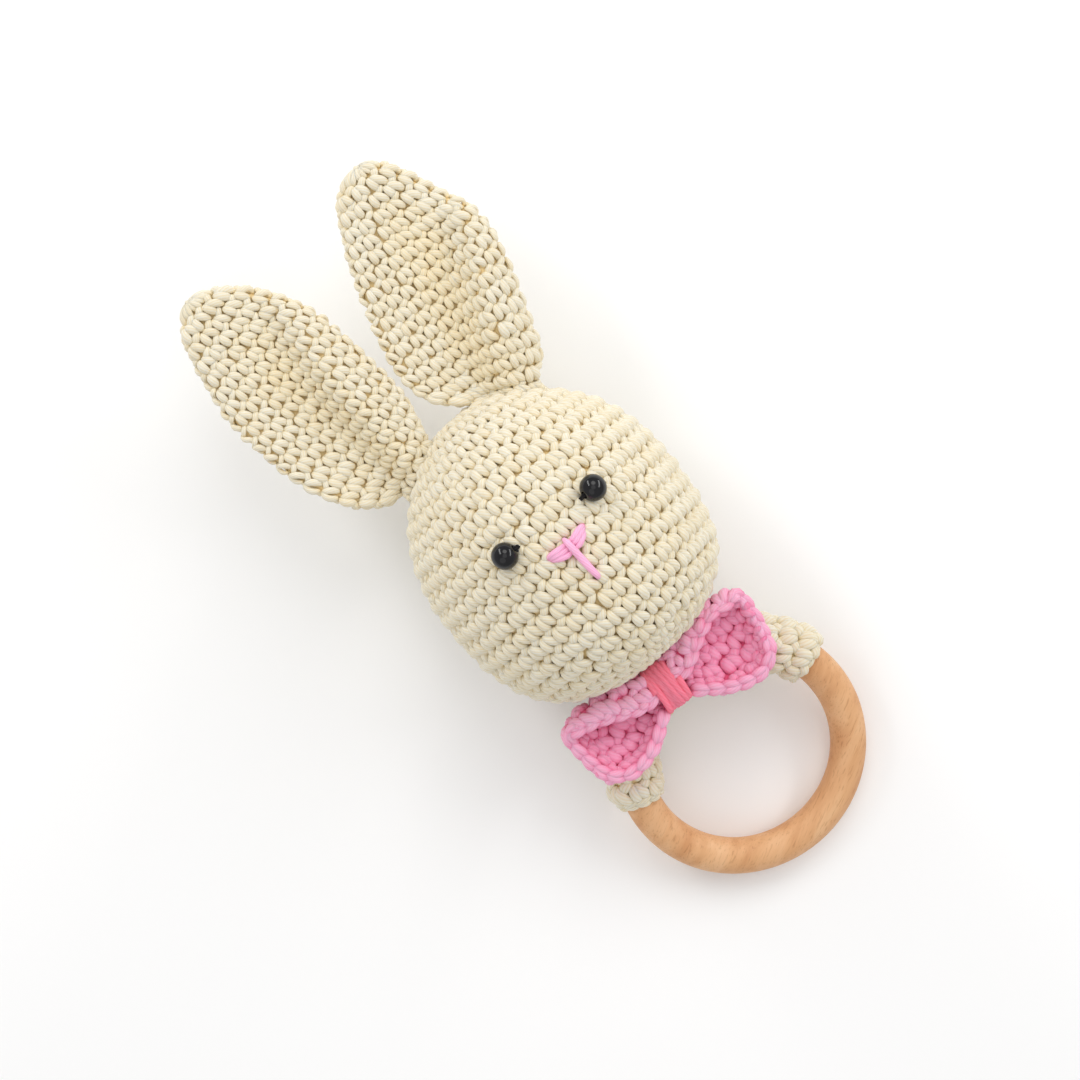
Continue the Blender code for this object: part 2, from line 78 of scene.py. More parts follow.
# ---------------------------------------------------------------- sizes shared with the CAD
RING_MAJOR, RING_MINOR, RING_TILT = 30.0, 5.0, math.radians(14.0)
RING_CENTRE_Z = RING_MINOR + RING_MAJOR * math.sin(RING_TILT) + 0.05
SLEEVE_START, SLEEVE_END = 16.0, 166.0
HEAD_X, HEAD_Z = -2.4, 34.0
HEAD_PROFILE = [
    (0.0, 116.7), (6.0, 116.1), (12.0, 114.2), (18.0, 111.1), (23.6, 106.6),
    (28.2, 101.6), (31.4, 96.8), (34.0, 90.8), (35.8, 83.6), (36.5, 75.4),
    (36.2, 66.0), (35.0, 57.6), (32.6, 50.4), (28.6, 44.6), (23.2, 40.4),
    (17.0, 37.6), (12.0, 36.2), (7.5, 35.7),
]
EARS = {
    "ear_left": {
        "base": (-23.0, 111.2, 34.0), "lean": (-0.188, 0.982), "rise": 7.0,
        "hinge": (-21.0, 112.0, 34.0), "length": 73.2, "shear": (0.30, 0.30),
        "ridge": [(-5, 2.5), (5, 3.0), (12, 3.8), (30, 6.5), (45, 11.0), (57, 15.5), (74, 16.0)],
        "fold": [(-5, 4.0), (5, 5.8), (20, 7.4), (35, 7.2), (50, 4.8), (62, 1.6), (74, 0.0)],
        "left_rise": [(-5, 3.0), (5, 4.5), (20, 5.0), (40, 4.0), (60, 1.5), (74, 0.5)],
        "left": [(0, 3.4), (4, 8.8), (8, 12.8), (14, 16.2), (22, 18.5), (32, 18.9),
                 (42, 18.5), (50, 16.4), (58, 13.4), (64, 11.0), (68.5, 8.4), (71.4, 5.2), (73.2, 1.4)],
        "right": [(0, 12.4), (4, 14.4), (8, 16.0), (14, 17.4), (22, 18.4), (32, 19.4),
                  (42, 19.8), (50, 18.9), (58, 16.1), (64, 12.8), (68.5, 9.2), (71.4, 5.4), (73.2, 1.4)],
    },
    "ear_right": {
        "base": (14.6, 113.4, 34.0), "lean": (0.066, 0.998), "rise": 7.0,
        "hinge": (13.0, 113.8, 34.0), "length": 68.8, "shear": (-0.05, -0.36),
        "ridge": [(-5, -2.0), (6, -1.0), (15, 2.0), (30, 8.4), (40, 13.0), (52, 16.0), (70, 16.0)],
        "fold": [(-5, 4.0), (6, 6.0), (20, 7.4), (32, 7.2), (45, 4.8), (58, 1.6), (70, 0.0)],
        "left_rise": [(-5, 3.0), (5, 4.5), (20, 5.0), (40, 3.5), (58, 1.5), (70, 0.5)],
        "left": [(0, 8.6), (3, 13.6), (6, 17.6), (10, 21.0), (15, 23.0), (21, 23.5), (28, 23.0),
                 (38, 21.0), (46, 18.4), (54, 15.4), (60, 12.8), (64.4, 10.2), (67.2, 6.8), (68.8, 1.6)],
        "right": [(0, 6.4), (4, 9.4), (8, 12.0), (14, 13.6), (20, 15.6), (28, 18.0),
                  (38, 19.3), (46, 17.6), (54, 13.2), (60, 10.2), (64.4, 7.4), (67.2, 4.6), (68.8, 1.4)],
    },
}
EYES = {"left": (-14.3, 80.2), "right": (11.4, 79.4)}
EYE_R = 3.45
KNOT = (-4.65, 28.2, 32.6)
KNOT_HALF_Y, KNOT_HALF_Z, KNOT_WIDTH = 6.4, 5.6, 7.4

ring_low, ring_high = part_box("wooden_ring")
SHIFT = np.array((ring_low + ring_high) / 2) - np.array([0.0, 0.0, RING_CENTRE_Z * 0.001])


def to_world(points):
    return np.asarray(points, float) * 0.001 + SHIFT


# ---------------------------------------------------------------- small maths
def eased(table, at):
    """Smooth curve through (key, value) pairs, clamped at the ends."""
    keys = np.array([k for k, _ in table], float)
    values = np.array([v for _, v in table], float)
    slopes = np.empty_like(values)
    for j in range(len(keys)):
        lo, hi = max(j - 1, 0), min(j + 1, len(keys) - 1)
        slopes[j] = (values[hi] - values[lo]) / (keys[hi] - keys[lo])
    at = np.clip(np.asarray(at, float), keys[0], keys[-1])
    i = np.clip(np.searchsorted(keys, at, side="right") - 1, 0, len(keys) - 2)
    h = keys[i + 1] - keys[i]
    t = (at - keys[i]) / h
    return (
        (2 * t**3 - 3 * t**2 + 1) * values[i] + (t**3 - 2 * t**2 + t) * h * slopes[i]
        + (-2 * t**3 + 3 * t**2) * values[i + 1] + (t**3 - t**2) * h * slopes[i + 1]
    )


def smooth(x):
    x = np.clip(x, 0.0, 1.0)
    return x * x * (3 - 2 * x)


def unit(v):
    return v / np.maximum(np.linalg.norm(v, axis=-1, keepdims=True), 1e-12)


def spline(points, count):
    """A smooth curve through the points, at count even steps of its own length."""
    p = np.asarray(points, float)
    p = np.vstack([2 * p[0] - p[1], p, 2 * p[-1] - p[-2]])
    fine = []
    for i in range(1, len(p) - 2):
        t = np.linspace(0, 1, 24, endpoint=False)[:, None]
        a, b, c, d = p[i - 1], p[i], p[i + 1], p[i + 2]
        fine.append(0.5 * (2 * b + (c - a) * t + (2 * a - 5 * b + 4 * c - d) * t**2 + (3 * b - a - 3 * c + d) * t**3))
    fine = np.vstack(fine + [p[-2][None]])
    run = np.concatenate([[0], np.cumsum(np.linalg.norm(np.diff(fine, axis=0), axis=1))])
    at = np.linspace(0, run[-1], count)
    return np.stack([np.interp(at, run, fine[:, k]) for k in range(fine.shape[1])], axis=1)


# ---------------------------------------------------------------- surfaces that stitches lie on
class Skin:
    """A grid of points in mm. Columns run to the right and rows run down, seen from outside."""

    def __init__(self, points, closed=True):
        self.p = np.asarray(points, float)
        self.closed = closed
        self.nv, self.nu = self.p.shape[:2]
        if closed:
            across = np.roll(self.p, -1, 1) - np.roll(self.p, 1, 1)
        else:
            across = np.gradient(self.p, axis=1)
        down = np.gradient(self.p, axis=0)
        self.n = unit(np.cross(down, across))
        weak = np.linalg.norm(np.cross(down, across), axis=-1) < 1e-9
        if weak.any():
            self.n[weak] = 0
            for row in np.where(weak.any(axis=1))[0]:
                near = min(max(row, 2), self.nv - 3)
                self.n[row] = unit(self.n[near].mean(axis=0)[None])

    reach = 99.0

    def at(self, u, v):
        """Point and normal at column u and row v of the grid, both in grid steps."""
        u, v = np.asarray(u, float), np.clip(np.asarray(v, float), 0, self.nv - 1.0001)
        if self.closed:
            u = np.mod(u, self.nu)
            i0 = np.floor(u).astype(int) % self.nu
            i1 = (i0 + 1) % self.nu
        else:
            over = np.clip(u - np.clip(u, 0, self.nu - 1.0001), -self.reach, self.reach)
            u = np.clip(u, 0, self.nu - 1.0001)
            i0 = np.floor(u).astype(int)
            i1 = i0 + 1
        fu = (u - np.floor(u))[..., None]
        j0 = np.floor(v).astype(int)
        j1 = j0 + 1
        fv = (v - j0)[..., None]

        def mix(g):
            return (g[j0, i0] * (1 - fu) + g[j0, i1] * fu) * (1 - fv) + (g[j1, i0] * (1 - fu) + g[j1, i1] * fu) * fv

        point = mix(self.p)
        if not self.closed:
            step = (self.p[j0, i1] - self.p[j0, i0])
            point = point + step * over[..., None]
        return point, unit(mix(self.n))

    def offset(self, depth):
        return self.p + self.n * depth


# ---------------------------------------------------------------- meshes
def make_mesh(name, points, loops, starts, uv=None, attributes=None, material=None):
    """A mesh object from flat arrays; points are in mm."""
    mesh = bpy.data.meshes.new(name)
    mesh.vertices.add(len(points))
    mesh.vertices.foreach_set("co", to_world(points).astype(np.float32).ravel())
    mesh.loops.add(len(loops))
    mesh.loops.foreach_set("vertex_index", np.asarray(loops, np.int32))
    mesh.polygons.add(len(starts))
    mesh.polygons.foreach_set("loop_start", np.asarray(starts, np.int32))
    mesh.polygons.foreach_set("use_smooth", np.ones(len(starts), bool))
    mesh.update(calc_edges=True)
    if uv is not None:
        layer = mesh.uv_layers.new(name="yarn_uv")
        layer.data.foreach_set("uv", np.asarray(uv, np.float32).ravel())
    for key, values in (attributes or {}).items():
        layer = mesh.attributes.new(key, "FLOAT", "POINT")
        layer.data.foreach_set("value", np.asarray(values, np.float32))
    mesh.validate()
    obj = bpy.data.objects.new(name, mesh)
    bpy.context.scene.collection.objects.link(obj)
    if material is not None:
        mesh.materials.append(material)
    return obj


class Yarn:
    """Gathers tubes of yarn, then makes one mesh of them."""

    def __init__(self, around=10):
        self.around = around
        self.points, self.loops, self.starts, self.uv = [], [], [], []
        self.tint, self.deep = [], []
        self.verts, self.corners = 0, 0

    def add(self, centres, ups, wide, thick, deep=None, tint=None, twist=0.0, rng=None, closed=False):
        """centres (n, k, 3), ups (n, k, 3), wide and thick (n, k) half sizes in mm."""
        centres, ups = np.asarray(centres, float), np.asarray(ups, float)
        n, k = centres.shape[:2]
        m = self.around
        if closed:
            along = np.roll(centres, -1, 1) - np.roll(centres, 1, 1)
        else:
            along = np.gradient(centres, axis=1)
        along = unit(along)
        side = unit(np.cross(ups, along))
        top = np.cross(along, side)
        phi = -math.pi / 2 + TAU * np.arange(m) / m
        wide = np.broadcast_to(wide, (n, k))[..., None, None]
        thick = np.broadcast_to(thick, (n, k))[..., None, None]
        ring = (
            centres[:, :, None]
            + side[:, :, None] * wide * np.cos(phi)[None, None, :, None]
            + top[:, :, None] * thick * np.sin(phi)[None, None, :, None]
        )
        self.points.append(ring.reshape(-1, 3))
        steps = np.linalg.norm(np.diff(centres, axis=1), axis=-1)
        run = np.concatenate([np.zeros((n, 1)), np.cumsum(steps, axis=1)], axis=1)
        rng = rng or np.random.default_rng(1)
        run = run + rng.random((n, 1)) * 20.0
        base = self.verts + (np.arange(n) * k * m)[:, None, None]
        rows = k if closed else k - 1
        i = np.arange(rows)[None, :, None] * m
        i2 = ((np.arange(rows) + 1) % k)[None, :, None] * m
        j = np.arange(m)[None, None, :]
        j2 = (j + 1) % m
        quads = np.stack([base + i + j, base + i + j2, base + i2 + j2, base + i2 + j], axis=-1)
        u0, u1 = np.arange(m) / m, (np.arange(m) + 1) / m
        if closed:
            run = np.concatenate([run, run[:, -1:] + steps.mean(axis=1, keepdims=True)], axis=1)
        v0, v1 = run[:, :-1, None] / 10, run[:, 1:, None] / 10
        shape = (n, rows, m)
        uv = np.stack([
            np.stack([np.broadcast_to(u0, shape), np.broadcast_to(v0, shape)], -1),
            np.stack([np.broadcast_to(u1, shape), np.broadcast_to(v0, shape)], -1),
            np.stack([np.broadcast_to(u1, shape), np.broadcast_to(v1, shape)], -1),
            np.stack([np.broadcast_to(u0, shape), np.broadcast_to(v1, shape)], -1),
        ], axis=-2)
        quads = quads.reshape(-1, 4)
        self.loops.append(quads.ravel())
        self.starts.append(self.corners + np.arange(len(quads)) * 4)
        self.corners += quads.size
        self.uv.append(uv.reshape(-1, 2))
        if not closed:
            j = np.arange(m)
            first = (base[:, 0, 0][:, None] + j[::-1][None]).reshape(-1)
            last = (base[:, 0, 0][:, None] + (k - 1) * m + j[None]).reshape(-1)
            for caps in (first, last):
                self.loops.append(caps)
                self.starts.append(self.corners + np.arange(n) * m)
                self.corners += caps.size
                self.uv.append(np.zeros((caps.size, 2)) + 0.25)
        tint = rng.random(n) if tint is None else np.broadcast_to(tint, (n,))
        self.tint.append(np.repeat(tint, k * m))
        # painted shade per point: the amount given, plus more painted shade on each tube's underside, where it faces
        # into the fabric
        if deep is None:
            deep = np.zeros((n, k))
        deep = np.broadcast_to(deep, (n, k))[..., None] + 0.32 * (1 - np.sin(phi)) / 2 * np.ones((n, k, 1))
        self.deep.append(np.clip(deep, 0, 1).ravel())
        self.verts += n * k * m

    def make(self, name, material):
        return make_mesh(
            name, np.concatenate(self.points), np.concatenate(self.loops), np.concatenate(self.starts),
            np.concatenate(self.uv), {"tint": np.concatenate(self.tint), "deep": np.concatenate(self.deep)}, material,
        )


def shell_mesh(name, outer, inner, material, closed_u=True, caps=(True, True)):
    """A thin closed body between two grids of the same size."""
    nv, nu = outer.shape[:2]
    points = np.concatenate([outer.reshape(-1, 3), inner.reshape(-1, 3)])
    faces = []
    half = nv * nu
    cols = nu if closed_u else nu - 1
    j = np.arange(cols)
    j2 = (j + 1) % nu
    for r in range(nv - 1):
        a, b = r * nu, (r + 1) * nu
        faces.append(np.stack([a + j, b + j, b + j2, a + j2], 1))
        faces.append(np.stack([half + a + j, half + a + j2, half + b + j2, half + b + j], 1))
    for r, flip in ((0, False), (nv - 1, True)):
        a = r * nu
        rim = np.stack([a + j, a + j2, half + a + j2, half + a + j], 1)
        faces.append(rim[:, ::-1] if flip else rim)
    if not closed_u:
        r = np.arange(nv - 1)
        for c, flip in ((0, True), (nu - 1, False)):
            a, b = r * nu + c, (r + 1) * nu + c
            rim = np.stack([a, b, half + b, half + a], 1)
            faces.append(rim if flip else rim[:, ::-1])
    faces = np.concatenate(faces)
    return make_mesh(name, points, faces.ravel(), np.arange(len(faces)) * 4, material=material)


# ---------------------------------------------------------------- stitches
def template(points, wide, thick, count=9):
    """A strand of one stitch: (a, b, c) points in mm, and how its half width runs along it."""
    path = spline(points, count)
    t = np.linspace(0, 1, count)
    swell = np.clip(np.sin(np.pi * (t * 0.84 + 0.08)), 0, 1) ** 0.4
    return path, wide * swell, thick * swell


CELL_A, CELL_B = 4.75, 5.0
LEFT_LEG = template([(-1.20, 2.25, -0.6), (-1.35, 1.35, 0.42), (-1.32, 0.1, 0.72), (-1.15, -1.05, 0.45), (-0.95, -2.15, -0.7)], 1.30, 1.08)
RIGHT_LEG = template([(-0.70, 2.1, -0.5), (0.0, 1.5, 0.45), (0.72, 0.45, 0.70), (1.32, -0.65, 0.42), (1.78, -1.85, -0.8)], 1.26, 1.05)
BRIDGE = template([(0.4, 1.25, -0.7), (1.05, 1.95, 0.12), (1.75, 2.55, 0.38), (2.4, 3.1, 0.12), (2.95, 3.55, -0.7)], 1.12, 0.95)
STITCH = (LEFT_LEG, RIGHT_LEG, BRIDGE)
BULKY_STITCH = tuple((path, wide * 1.16, thick * 1.12) for path, wide, thick in STITCH)


def lay_stitches(yarn, skin, rows, rng, lift=0.0, jitter=1.0, strands=STITCH, tint_shift=0.0, keep=None, shade=None):
    """rows is a list of (row position v, row step dv, stitches n, phase) in grid steps of the skin."""
    u0, v0, du, dv = [], [], [], []
    for v, step, n, phase in rows:
        width = skin.nu if skin.closed else skin.nu - 1
        u0.append((np.arange(n) + phase + (0.0 if skin.closed else 0.5)) * width / n)
        v0.append(np.full(n, v))
        du.append(np.full(n, width / n))
        dv.append(np.full(n, step))
    u0, v0, du, dv = (np.concatenate(x) for x in (u0, v0, du, dv))
    if keep is not None:
        kept = keep(u0, v0)
        u0, v0, du, dv = u0[kept], v0[kept], du[kept], dv[kept]
    count = len(u0)
    left, _ = skin.at(u0 - du / 2, v0)
    right, _ = skin.at(u0 + du / 2, v0)
    over, _ = skin.at(u0, v0 - dv / 2)
    under, _ = skin.at(u0, v0 + dv / 2)
    scale = np.sqrt(np.linalg.norm(right - left, axis=1) / CELL_A * np.linalg.norm(under - over, axis=1) / CELL_B)
    scale = np.clip(scale, 0.62, 1.2)
    wander = rng.normal(0, 0.11 * jitter, (count, 2))
    swell = 1 + rng.normal(0, 0.035 * jitter, count)
    tone = rng.random(count)
    # extra painted shade per stitch, from the shade function
    extra = np.zeros(count) if shade is None else shade(u0, v0)
    for path, wide, thick in strands:
        k = len(path)
        small = rng.normal(0, 0.09 * jitter, (count, 1, 3)) * np.array([1, 1, 0.7])
        bend = rng.normal(0, 0.10 * jitter, (count, 1, 3)) * np.sin(np.pi * np.linspace(0, 1, k))[None, :, None]
        abc = path[None] + small + bend
        a = (abc[..., 0] + wander[:, :1]) / CELL_A
        b = (abc[..., 1] + wander[:, 1:]) / CELL_B
        c = abc[..., 2] * scale[:, None]
        point, normal = skin.at(u0[:, None] + a * du[:, None], v0[:, None] - b * dv[:, None])
        centre = point + normal * (c + lift)[..., None]
        size = (scale * swell)[:, None]
        # painted shade where each strand dives below the stitch surface, plus the painted shade the caller asks for
        deep = np.clip((0.45 - path[:, 2]) / 1.7, 0, 1) ** 1.2
        yarn.add(centre, normal, wide[None] * size, thick[None] * size, deep=np.clip(deep[None] + extra[:, None], 0, 1),
                 tint=np.clip(tone * 0.6 + rng.random(count) * 0.4 + tint_shift, 0, 1), rng=rng)


def braid(yarn, path, ups, pitch, rng, spread=0.95, wide=0.85, thick=0.75, lift=0.0, deep=0.0, tint_shift=0.0):
    """A crochet chain lying along a path: overlapping V-shaped links."""
    path, ups = np.asarray(path, float), np.asarray(ups, float)
    run = np.concatenate([[0], np.cumsum(np.linalg.norm(np.diff(path, axis=0), axis=1))])
    links = max(2, int(round(run[-1] / pitch)))
    step = run[-1] / links

    def at(s):
        s = np.clip(s, 0, run[-1])
        p = np.stack([np.interp(s, run, path[:, k]) for k in range(3)], -1)
        n = unit(np.stack([np.interp(s, run, ups[:, k]) for k in range(3)], -1))
        q = np.stack([np.interp(np.clip(s + 0.3, 0, run[-1]), run, path[:, k]) for k in range(3)], -1)
        o = np.stack([np.interp(np.clip(s - 0.3, 0, run[-1]), run, path[:, k]) for k in range(3)], -1)
        t = unit(q - o)
        return p, n, t, unit(np.cross(n, t))

    k = 9
    t = np.linspace(0, 1, k)
    start = np.arange(links) * step
    for side in (-1, 1):
        along = (start[:, None] - 0.25 * step) + (1.55 * step) * t[None]
        out = side * spread * (0.04 + 0.96 * np.sin(np.pi * np.clip(t, 0, 1) ** 1.45))
        rise = 0.75 * np.sin(np.pi * np.clip(t * 0.92 + 0.08, 0, 1)) - 0.35 - 0.35 * t
        p, n, d, s = at(along)
        jit = rng.normal(0, 0.06, (links, 1, 3))
        centre = p + s * out[None, :, None] + n * (rise + lift)[None, :, None] + jit
        swell = np.sin(np.pi * np.clip(t * 0.9 + 0.05, 0, 1)) ** 0.4
        # painted shade where each link dips into the fabric, plus the painted shade given
        yarn.add(centre, n, (wide * swell)[None], (thick * swell)[None],
                 deep=(np.clip(0.35 - rise, 0, 1) * 0.5 + deep)[None],
                 tint=np.clip(rng.random(links) + tint_shift, 0, 1), rng=rng)


# ---------------------------------------------------------------- materials
def new_material(name):
    material = bpy.data.materials.new(name)
    material.use_nodes = True
    nodes = material.node_tree.nodes
    nodes.clear()
    out = nodes.new("ShaderNodeOutputMaterial")
    shader = nodes.new("ShaderNodeBsdfPrincipled")
    material.node_tree.links.new(shader.outputs["BSDF"], out.inputs["Surface"])
    return material, nodes, material.node_tree.links, shader


def srgb(r, g, b):
    out = []
    for c in (r, g, b):
        c = c / 255.0
        out.append(c / 12.92 if c <= 0.04045 else ((c + 0.055) / 1.055) ** 2.4)
    return (*out, 1.0)


def ramp(nodes, stops, interpolation="LINEAR"):
    node = nodes.new("ShaderNodeValToRGB")
    node.color_ramp.interpolation = interpolation
    elements = node.color_ramp.elements
    while len(elements) > 1:
        elements.remove(elements[-1])
    elements[0].position, elements[0].color = stops[0]
    for position, colour in stops[1:]:
        element = elements.new(position)
        element.color = colour
    return node


def maths(nodes, links, operation, a, b=None, c=None, clamp=False):
    node = nodes.new("ShaderNodeMath")
    node.operation = operation
    node.use_clamp = clamp
    for socket, value in zip(node.inputs, (a, b, c)):
        if value is None:
            continue
        if isinstance(value, (int, float)):
            socket.default_value = value
        else:
            links.new(value, socket)
    return node.outputs[0]


def mix_colour(nodes, links, blend, factor, a, b):
    node = nodes.new("ShaderNodeMix")
    node.data_type = "RGBA"
    node.blend_type = blend
    for socket, value in ((node.inputs[0], factor), (node.inputs[6], a), (node.inputs[7], b)):
        if isinstance(value, (int, float)):
            socket.default_value = value
        elif isinstance(value, tuple):
            socket.default_value = value
        else:
            links.new(value, socket)
    return node.outputs[2]


def yarn_material(name, light, mid, deep, plies=9.0, turn=0.55, roughness=0.9, sheen=0.08, ply_shade=0.18, bump=0.16, subsurface=0.0, warmth=(0.3, 0.8, 1.9)):
    """Plied cotton: fine strands twisted round each other, stray fibres, and warm painted shade between the stitches.
    """
    material, nodes, links, shader = new_material(name)
    uv = nodes.new("ShaderNodeUVMap")
    uv.uv_map = "yarn_uv"
    split = nodes.new("ShaderNodeSeparateXYZ")
    links.new(uv.outputs[0], split.inputs[0])
    u, v = split.outputs[0], split.outputs[1]
    tint = nodes.new("ShaderNodeAttribute")
    tint.attribute_name = "tint"
    # reads the painted shade attribute laid on the yarn tubes
    depth = nodes.new("ShaderNodeAttribute")
    depth.attribute_name = "deep"

    wobble = nodes.new("ShaderNodeTexNoise")
    wobble.noise_dimensions = "3D"
    wobble.inputs["Scale"].default_value = 3.0
    wobble.inputs["Detail"].default_value = 2.0
    # both noises run on a ring round the strand, so they meet where u wraps
    around = maths(nodes, links, "MULTIPLY", u, TAU)
    ring_x, ring_y = maths(nodes, links, "COSINE", around), maths(nodes, links, "SINE", around)
    place = nodes.new("ShaderNodeCombineXYZ")
    links.new(maths(nodes, links, "MULTIPLY", ring_x, 0.16), place.inputs[0])
    links.new(maths(nodes, links, "MULTIPLY", ring_y, 0.16), place.inputs[1])
    links.new(maths(nodes, links, "MULTIPLY_ADD", tint.outputs["Fac"], 5.0, v), place.inputs[2])
    links.new(place.outputs[0], wobble.inputs["Vector"])

    twisted = maths(nodes, links, "MULTIPLY_ADD", u, plies, maths(nodes, links, "MULTIPLY", v, plies * turn))
    twisted = maths(nodes, links, "MULTIPLY_ADD", wobble.outputs["Fac"], 0.55, twisted)
    phase = maths(nodes, links, "FRACT", twisted)
    centred = maths(nodes, links, "MULTIPLY_ADD", phase, 2.0, -1.0)
    ply = maths(nodes, links, "SUBTRACT", 1.0, maths(nodes, links, "POWER", maths(nodes, links, "ABSOLUTE", centred), 2.2))

    fibre_place = nodes.new("ShaderNodeCombineXYZ")
    links.new(maths(nodes, links, "MULTIPLY", ring_x, 4.1), fibre_place.inputs[0])
    links.new(maths(nodes, links, "MULTIPLY", ring_y, 4.1), fibre_place.inputs[1])
    links.new(maths(nodes, links, "MULTIPLY_ADD", tint.outputs["Fac"], 30.0, maths(nodes, links, "MULTIPLY", v, 9.0)), fibre_place.inputs[2])
    fibre = nodes.new("ShaderNodeTexNoise")
    fibre.inputs["Scale"].default_value = 1.6
    fibre.inputs["Detail"].default_value = 3.0
    fibre.inputs["Roughness"].default_value = 0.65
    links.new(fibre_place.outputs[0], fibre.inputs["Vector"])

    # the yarn's colour runs from its pale colour through mid to its painted shade colour as the painted shade grows
    body = ramp(nodes, [(0.0, light), (0.38, mid), (1.0, deep)], "EASE")
    links.new(depth.outputs["Fac"], body.inputs[0])
    shade = maths(nodes, links, "MULTIPLY_ADD", ply, ply_shade, 1.0 - ply_shade)
    shade = maths(nodes, links, "MULTIPLY", shade, maths(nodes, links, "MULTIPLY_ADD", fibre.outputs["Fac"], 0.16, 0.92))
    shade = maths(nodes, links, "MULTIPLY", shade, maths(nodes, links, "MULTIPLY_ADD", tint.outputs["Fac"], 0.08, 0.96))
    tone = nodes.new("ShaderNodeCombineColor")
    for channel, power in enumerate(warmth):
        links.new(maths(nodes, links, "POWER", shade, power), tone.inputs[channel])
    colour = mix_colour(nodes, links, "MULTIPLY", 1.0, body.outputs[0], tone.outputs[0])
    links.new(colour, shader.inputs["Base Color"])

    height = maths(nodes, links, "MULTIPLY_ADD", fibre.outputs["Fac"], 0.35, ply)
    lumps = nodes.new("ShaderNodeBump")
    lumps.inputs["Strength"].default_value = bump
    lumps.inputs["Distance"].default_value = 0.00018
    links.new(height, lumps.inputs["Height"])
    links.new(lumps.outputs[0], shader.inputs["Normal"])
    rough = maths(nodes, links, "MULTIPLY_ADD", fibre.outputs["Fac"], 0.12, roughness - 0.06)
    links.new(rough, shader.inputs["Roughness"])
    shader.inputs["Sheen Weight"].default_value = sheen
    shader.inputs["Sheen Roughness"].default_value = 0.5
    shader.inputs["Sheen Tint"].default_value = light
    if subsurface:
        shader.inputs["Subsurface Weight"].default_value = subsurface
        shader.inputs["Subsurface Radius"].default_value = (1.0, 0.95, 0.85)
        shader.inputs["Subsurface Scale"].default_value = 0.0004
    shader.inputs["Specular IOR Level"].default_value = 0.25
    return material


def fabric_base_material(name, colour, deeper):
    """The felted inside of the fabric, seen only through the gaps between stitches."""
    material, nodes, links, shader = new_material(name)
    where = nodes.new("ShaderNodeTexCoord")
    noise = nodes.new("ShaderNodeTexNoise")
    noise.inputs["Scale"].default_value = 900.0
    noise.inputs["Detail"].default_value = 3.0
    links.new(where.outputs["Object"], noise.inputs["Vector"])
    tones = ramp(nodes, [(0.3, deeper), (0.7, colour)])
    links.new(noise.outputs["Fac"], tones.inputs[0])
    links.new(tones.outputs[0], shader.inputs["Base Color"])
    lumps = nodes.new("ShaderNodeBump")
    lumps.inputs["Strength"].default_value = 0.6
    lumps.inputs["Distance"].default_value = 0.0004
    links.new(noise.outputs["Fac"], lumps.inputs["Height"])
    links.new(lumps.outputs[0], shader.inputs["Normal"])
    shader.inputs["Roughness"].default_value = 0.95
    shader.inputs["Specular IOR Level"].default_value = 0.15
    return material


def wood_material():
    """Sanded beech: long soft growth bands, short dark flecks and a low wax sheen."""
    material, nodes, links, shader = new_material("sanded_beech")
    where = nodes.new("ShaderNodeTexCoord")
    placed = nodes.new("ShaderNodeMapping")
    placed.inputs["Rotation"].default_value = (0.0, 0.0, math.radians(-28))
    links.new(where.outputs["Object"], placed.inputs["Vector"])
    stretched = nodes.new("ShaderNodeMapping")
    stretched.inputs["Scale"].default_value = (26.0, 190.0, 190.0)
    links.new(placed.outputs[0], stretched.inputs["Vector"])
    bands = nodes.new("ShaderNodeTexNoise")
    bands.inputs["Scale"].default_value = 1.0
    bands.inputs["Detail"].default_value = 4.0
    bands.inputs["Roughness"].default_value = 0.55
    links.new(stretched.outputs[0], bands.inputs["Vector"])
    fleck_place = nodes.new("ShaderNodeMapping")
    fleck_place.inputs["Scale"].default_value = (260.0, 2400.0, 2400.0)
    links.new(placed.outputs[0], fleck_place.inputs["Vector"])
    flecks = nodes.new("ShaderNodeTexNoise")
    flecks.inputs["Scale"].default_value = 1.0
    flecks.inputs["Detail"].default_value = 2.0
    links.new(fleck_place.outputs[0], flecks.inputs["Vector"])
    blotch = nodes.new("ShaderNodeTexNoise")
    blotch.inputs["Scale"].default_value = 45.0
    blotch.inputs["Detail"].default_value = 1.0
    links.new(where.outputs["Object"], blotch.inputs["Vector"])
    body = ramp(nodes, [(0.30, srgb(213, 156, 107)), (0.52, srgb(229, 178, 130)), (0.72, srgb(237, 192, 147))])
    links.new(bands.outputs["Fac"], body.inputs[0])
    fleck_tone = ramp(nodes, [(0.30, (0.74, 0.66, 0.58, 1)), (0.44, (0.97, 0.96, 0.95, 1)), (1.0, (1.0, 1.0, 1.0, 1))])
    links.new(flecks.outputs["Fac"], fleck_tone.inputs[0])
    colour = mix_colour(nodes, links, "MULTIPLY", 0.75, body.outputs[0], fleck_tone.outputs[0])
    blotch_tone = ramp(nodes, [(0.3, (0.93, 0.89, 0.85, 1)), (0.7, (1.0, 1.0, 1.0, 1))])
    links.new(blotch.outputs["Fac"], blotch_tone.inputs[0])
    colour = mix_colour(nodes, links, "MULTIPLY", 0.8, colour, blotch_tone.outputs[0])
    links.new(colour, shader.inputs["Base Color"])
    rough = maths(nodes, links, "MULTIPLY_ADD", flecks.outputs["Fac"], -0.12, 0.60)
    links.new(rough, shader.inputs["Roughness"])
    lumps = nodes.new("ShaderNodeBump")
    lumps.inputs["Strength"].default_value = 0.25
    lumps.inputs["Distance"].default_value = 0.0001
    links.new(flecks.outputs["Fac"], lumps.inputs["Height"])
    links.new(lumps.outputs[0], shader.inputs["Normal"])
    shader.inputs["Specular IOR Level"].default_value = 0.4
    return material


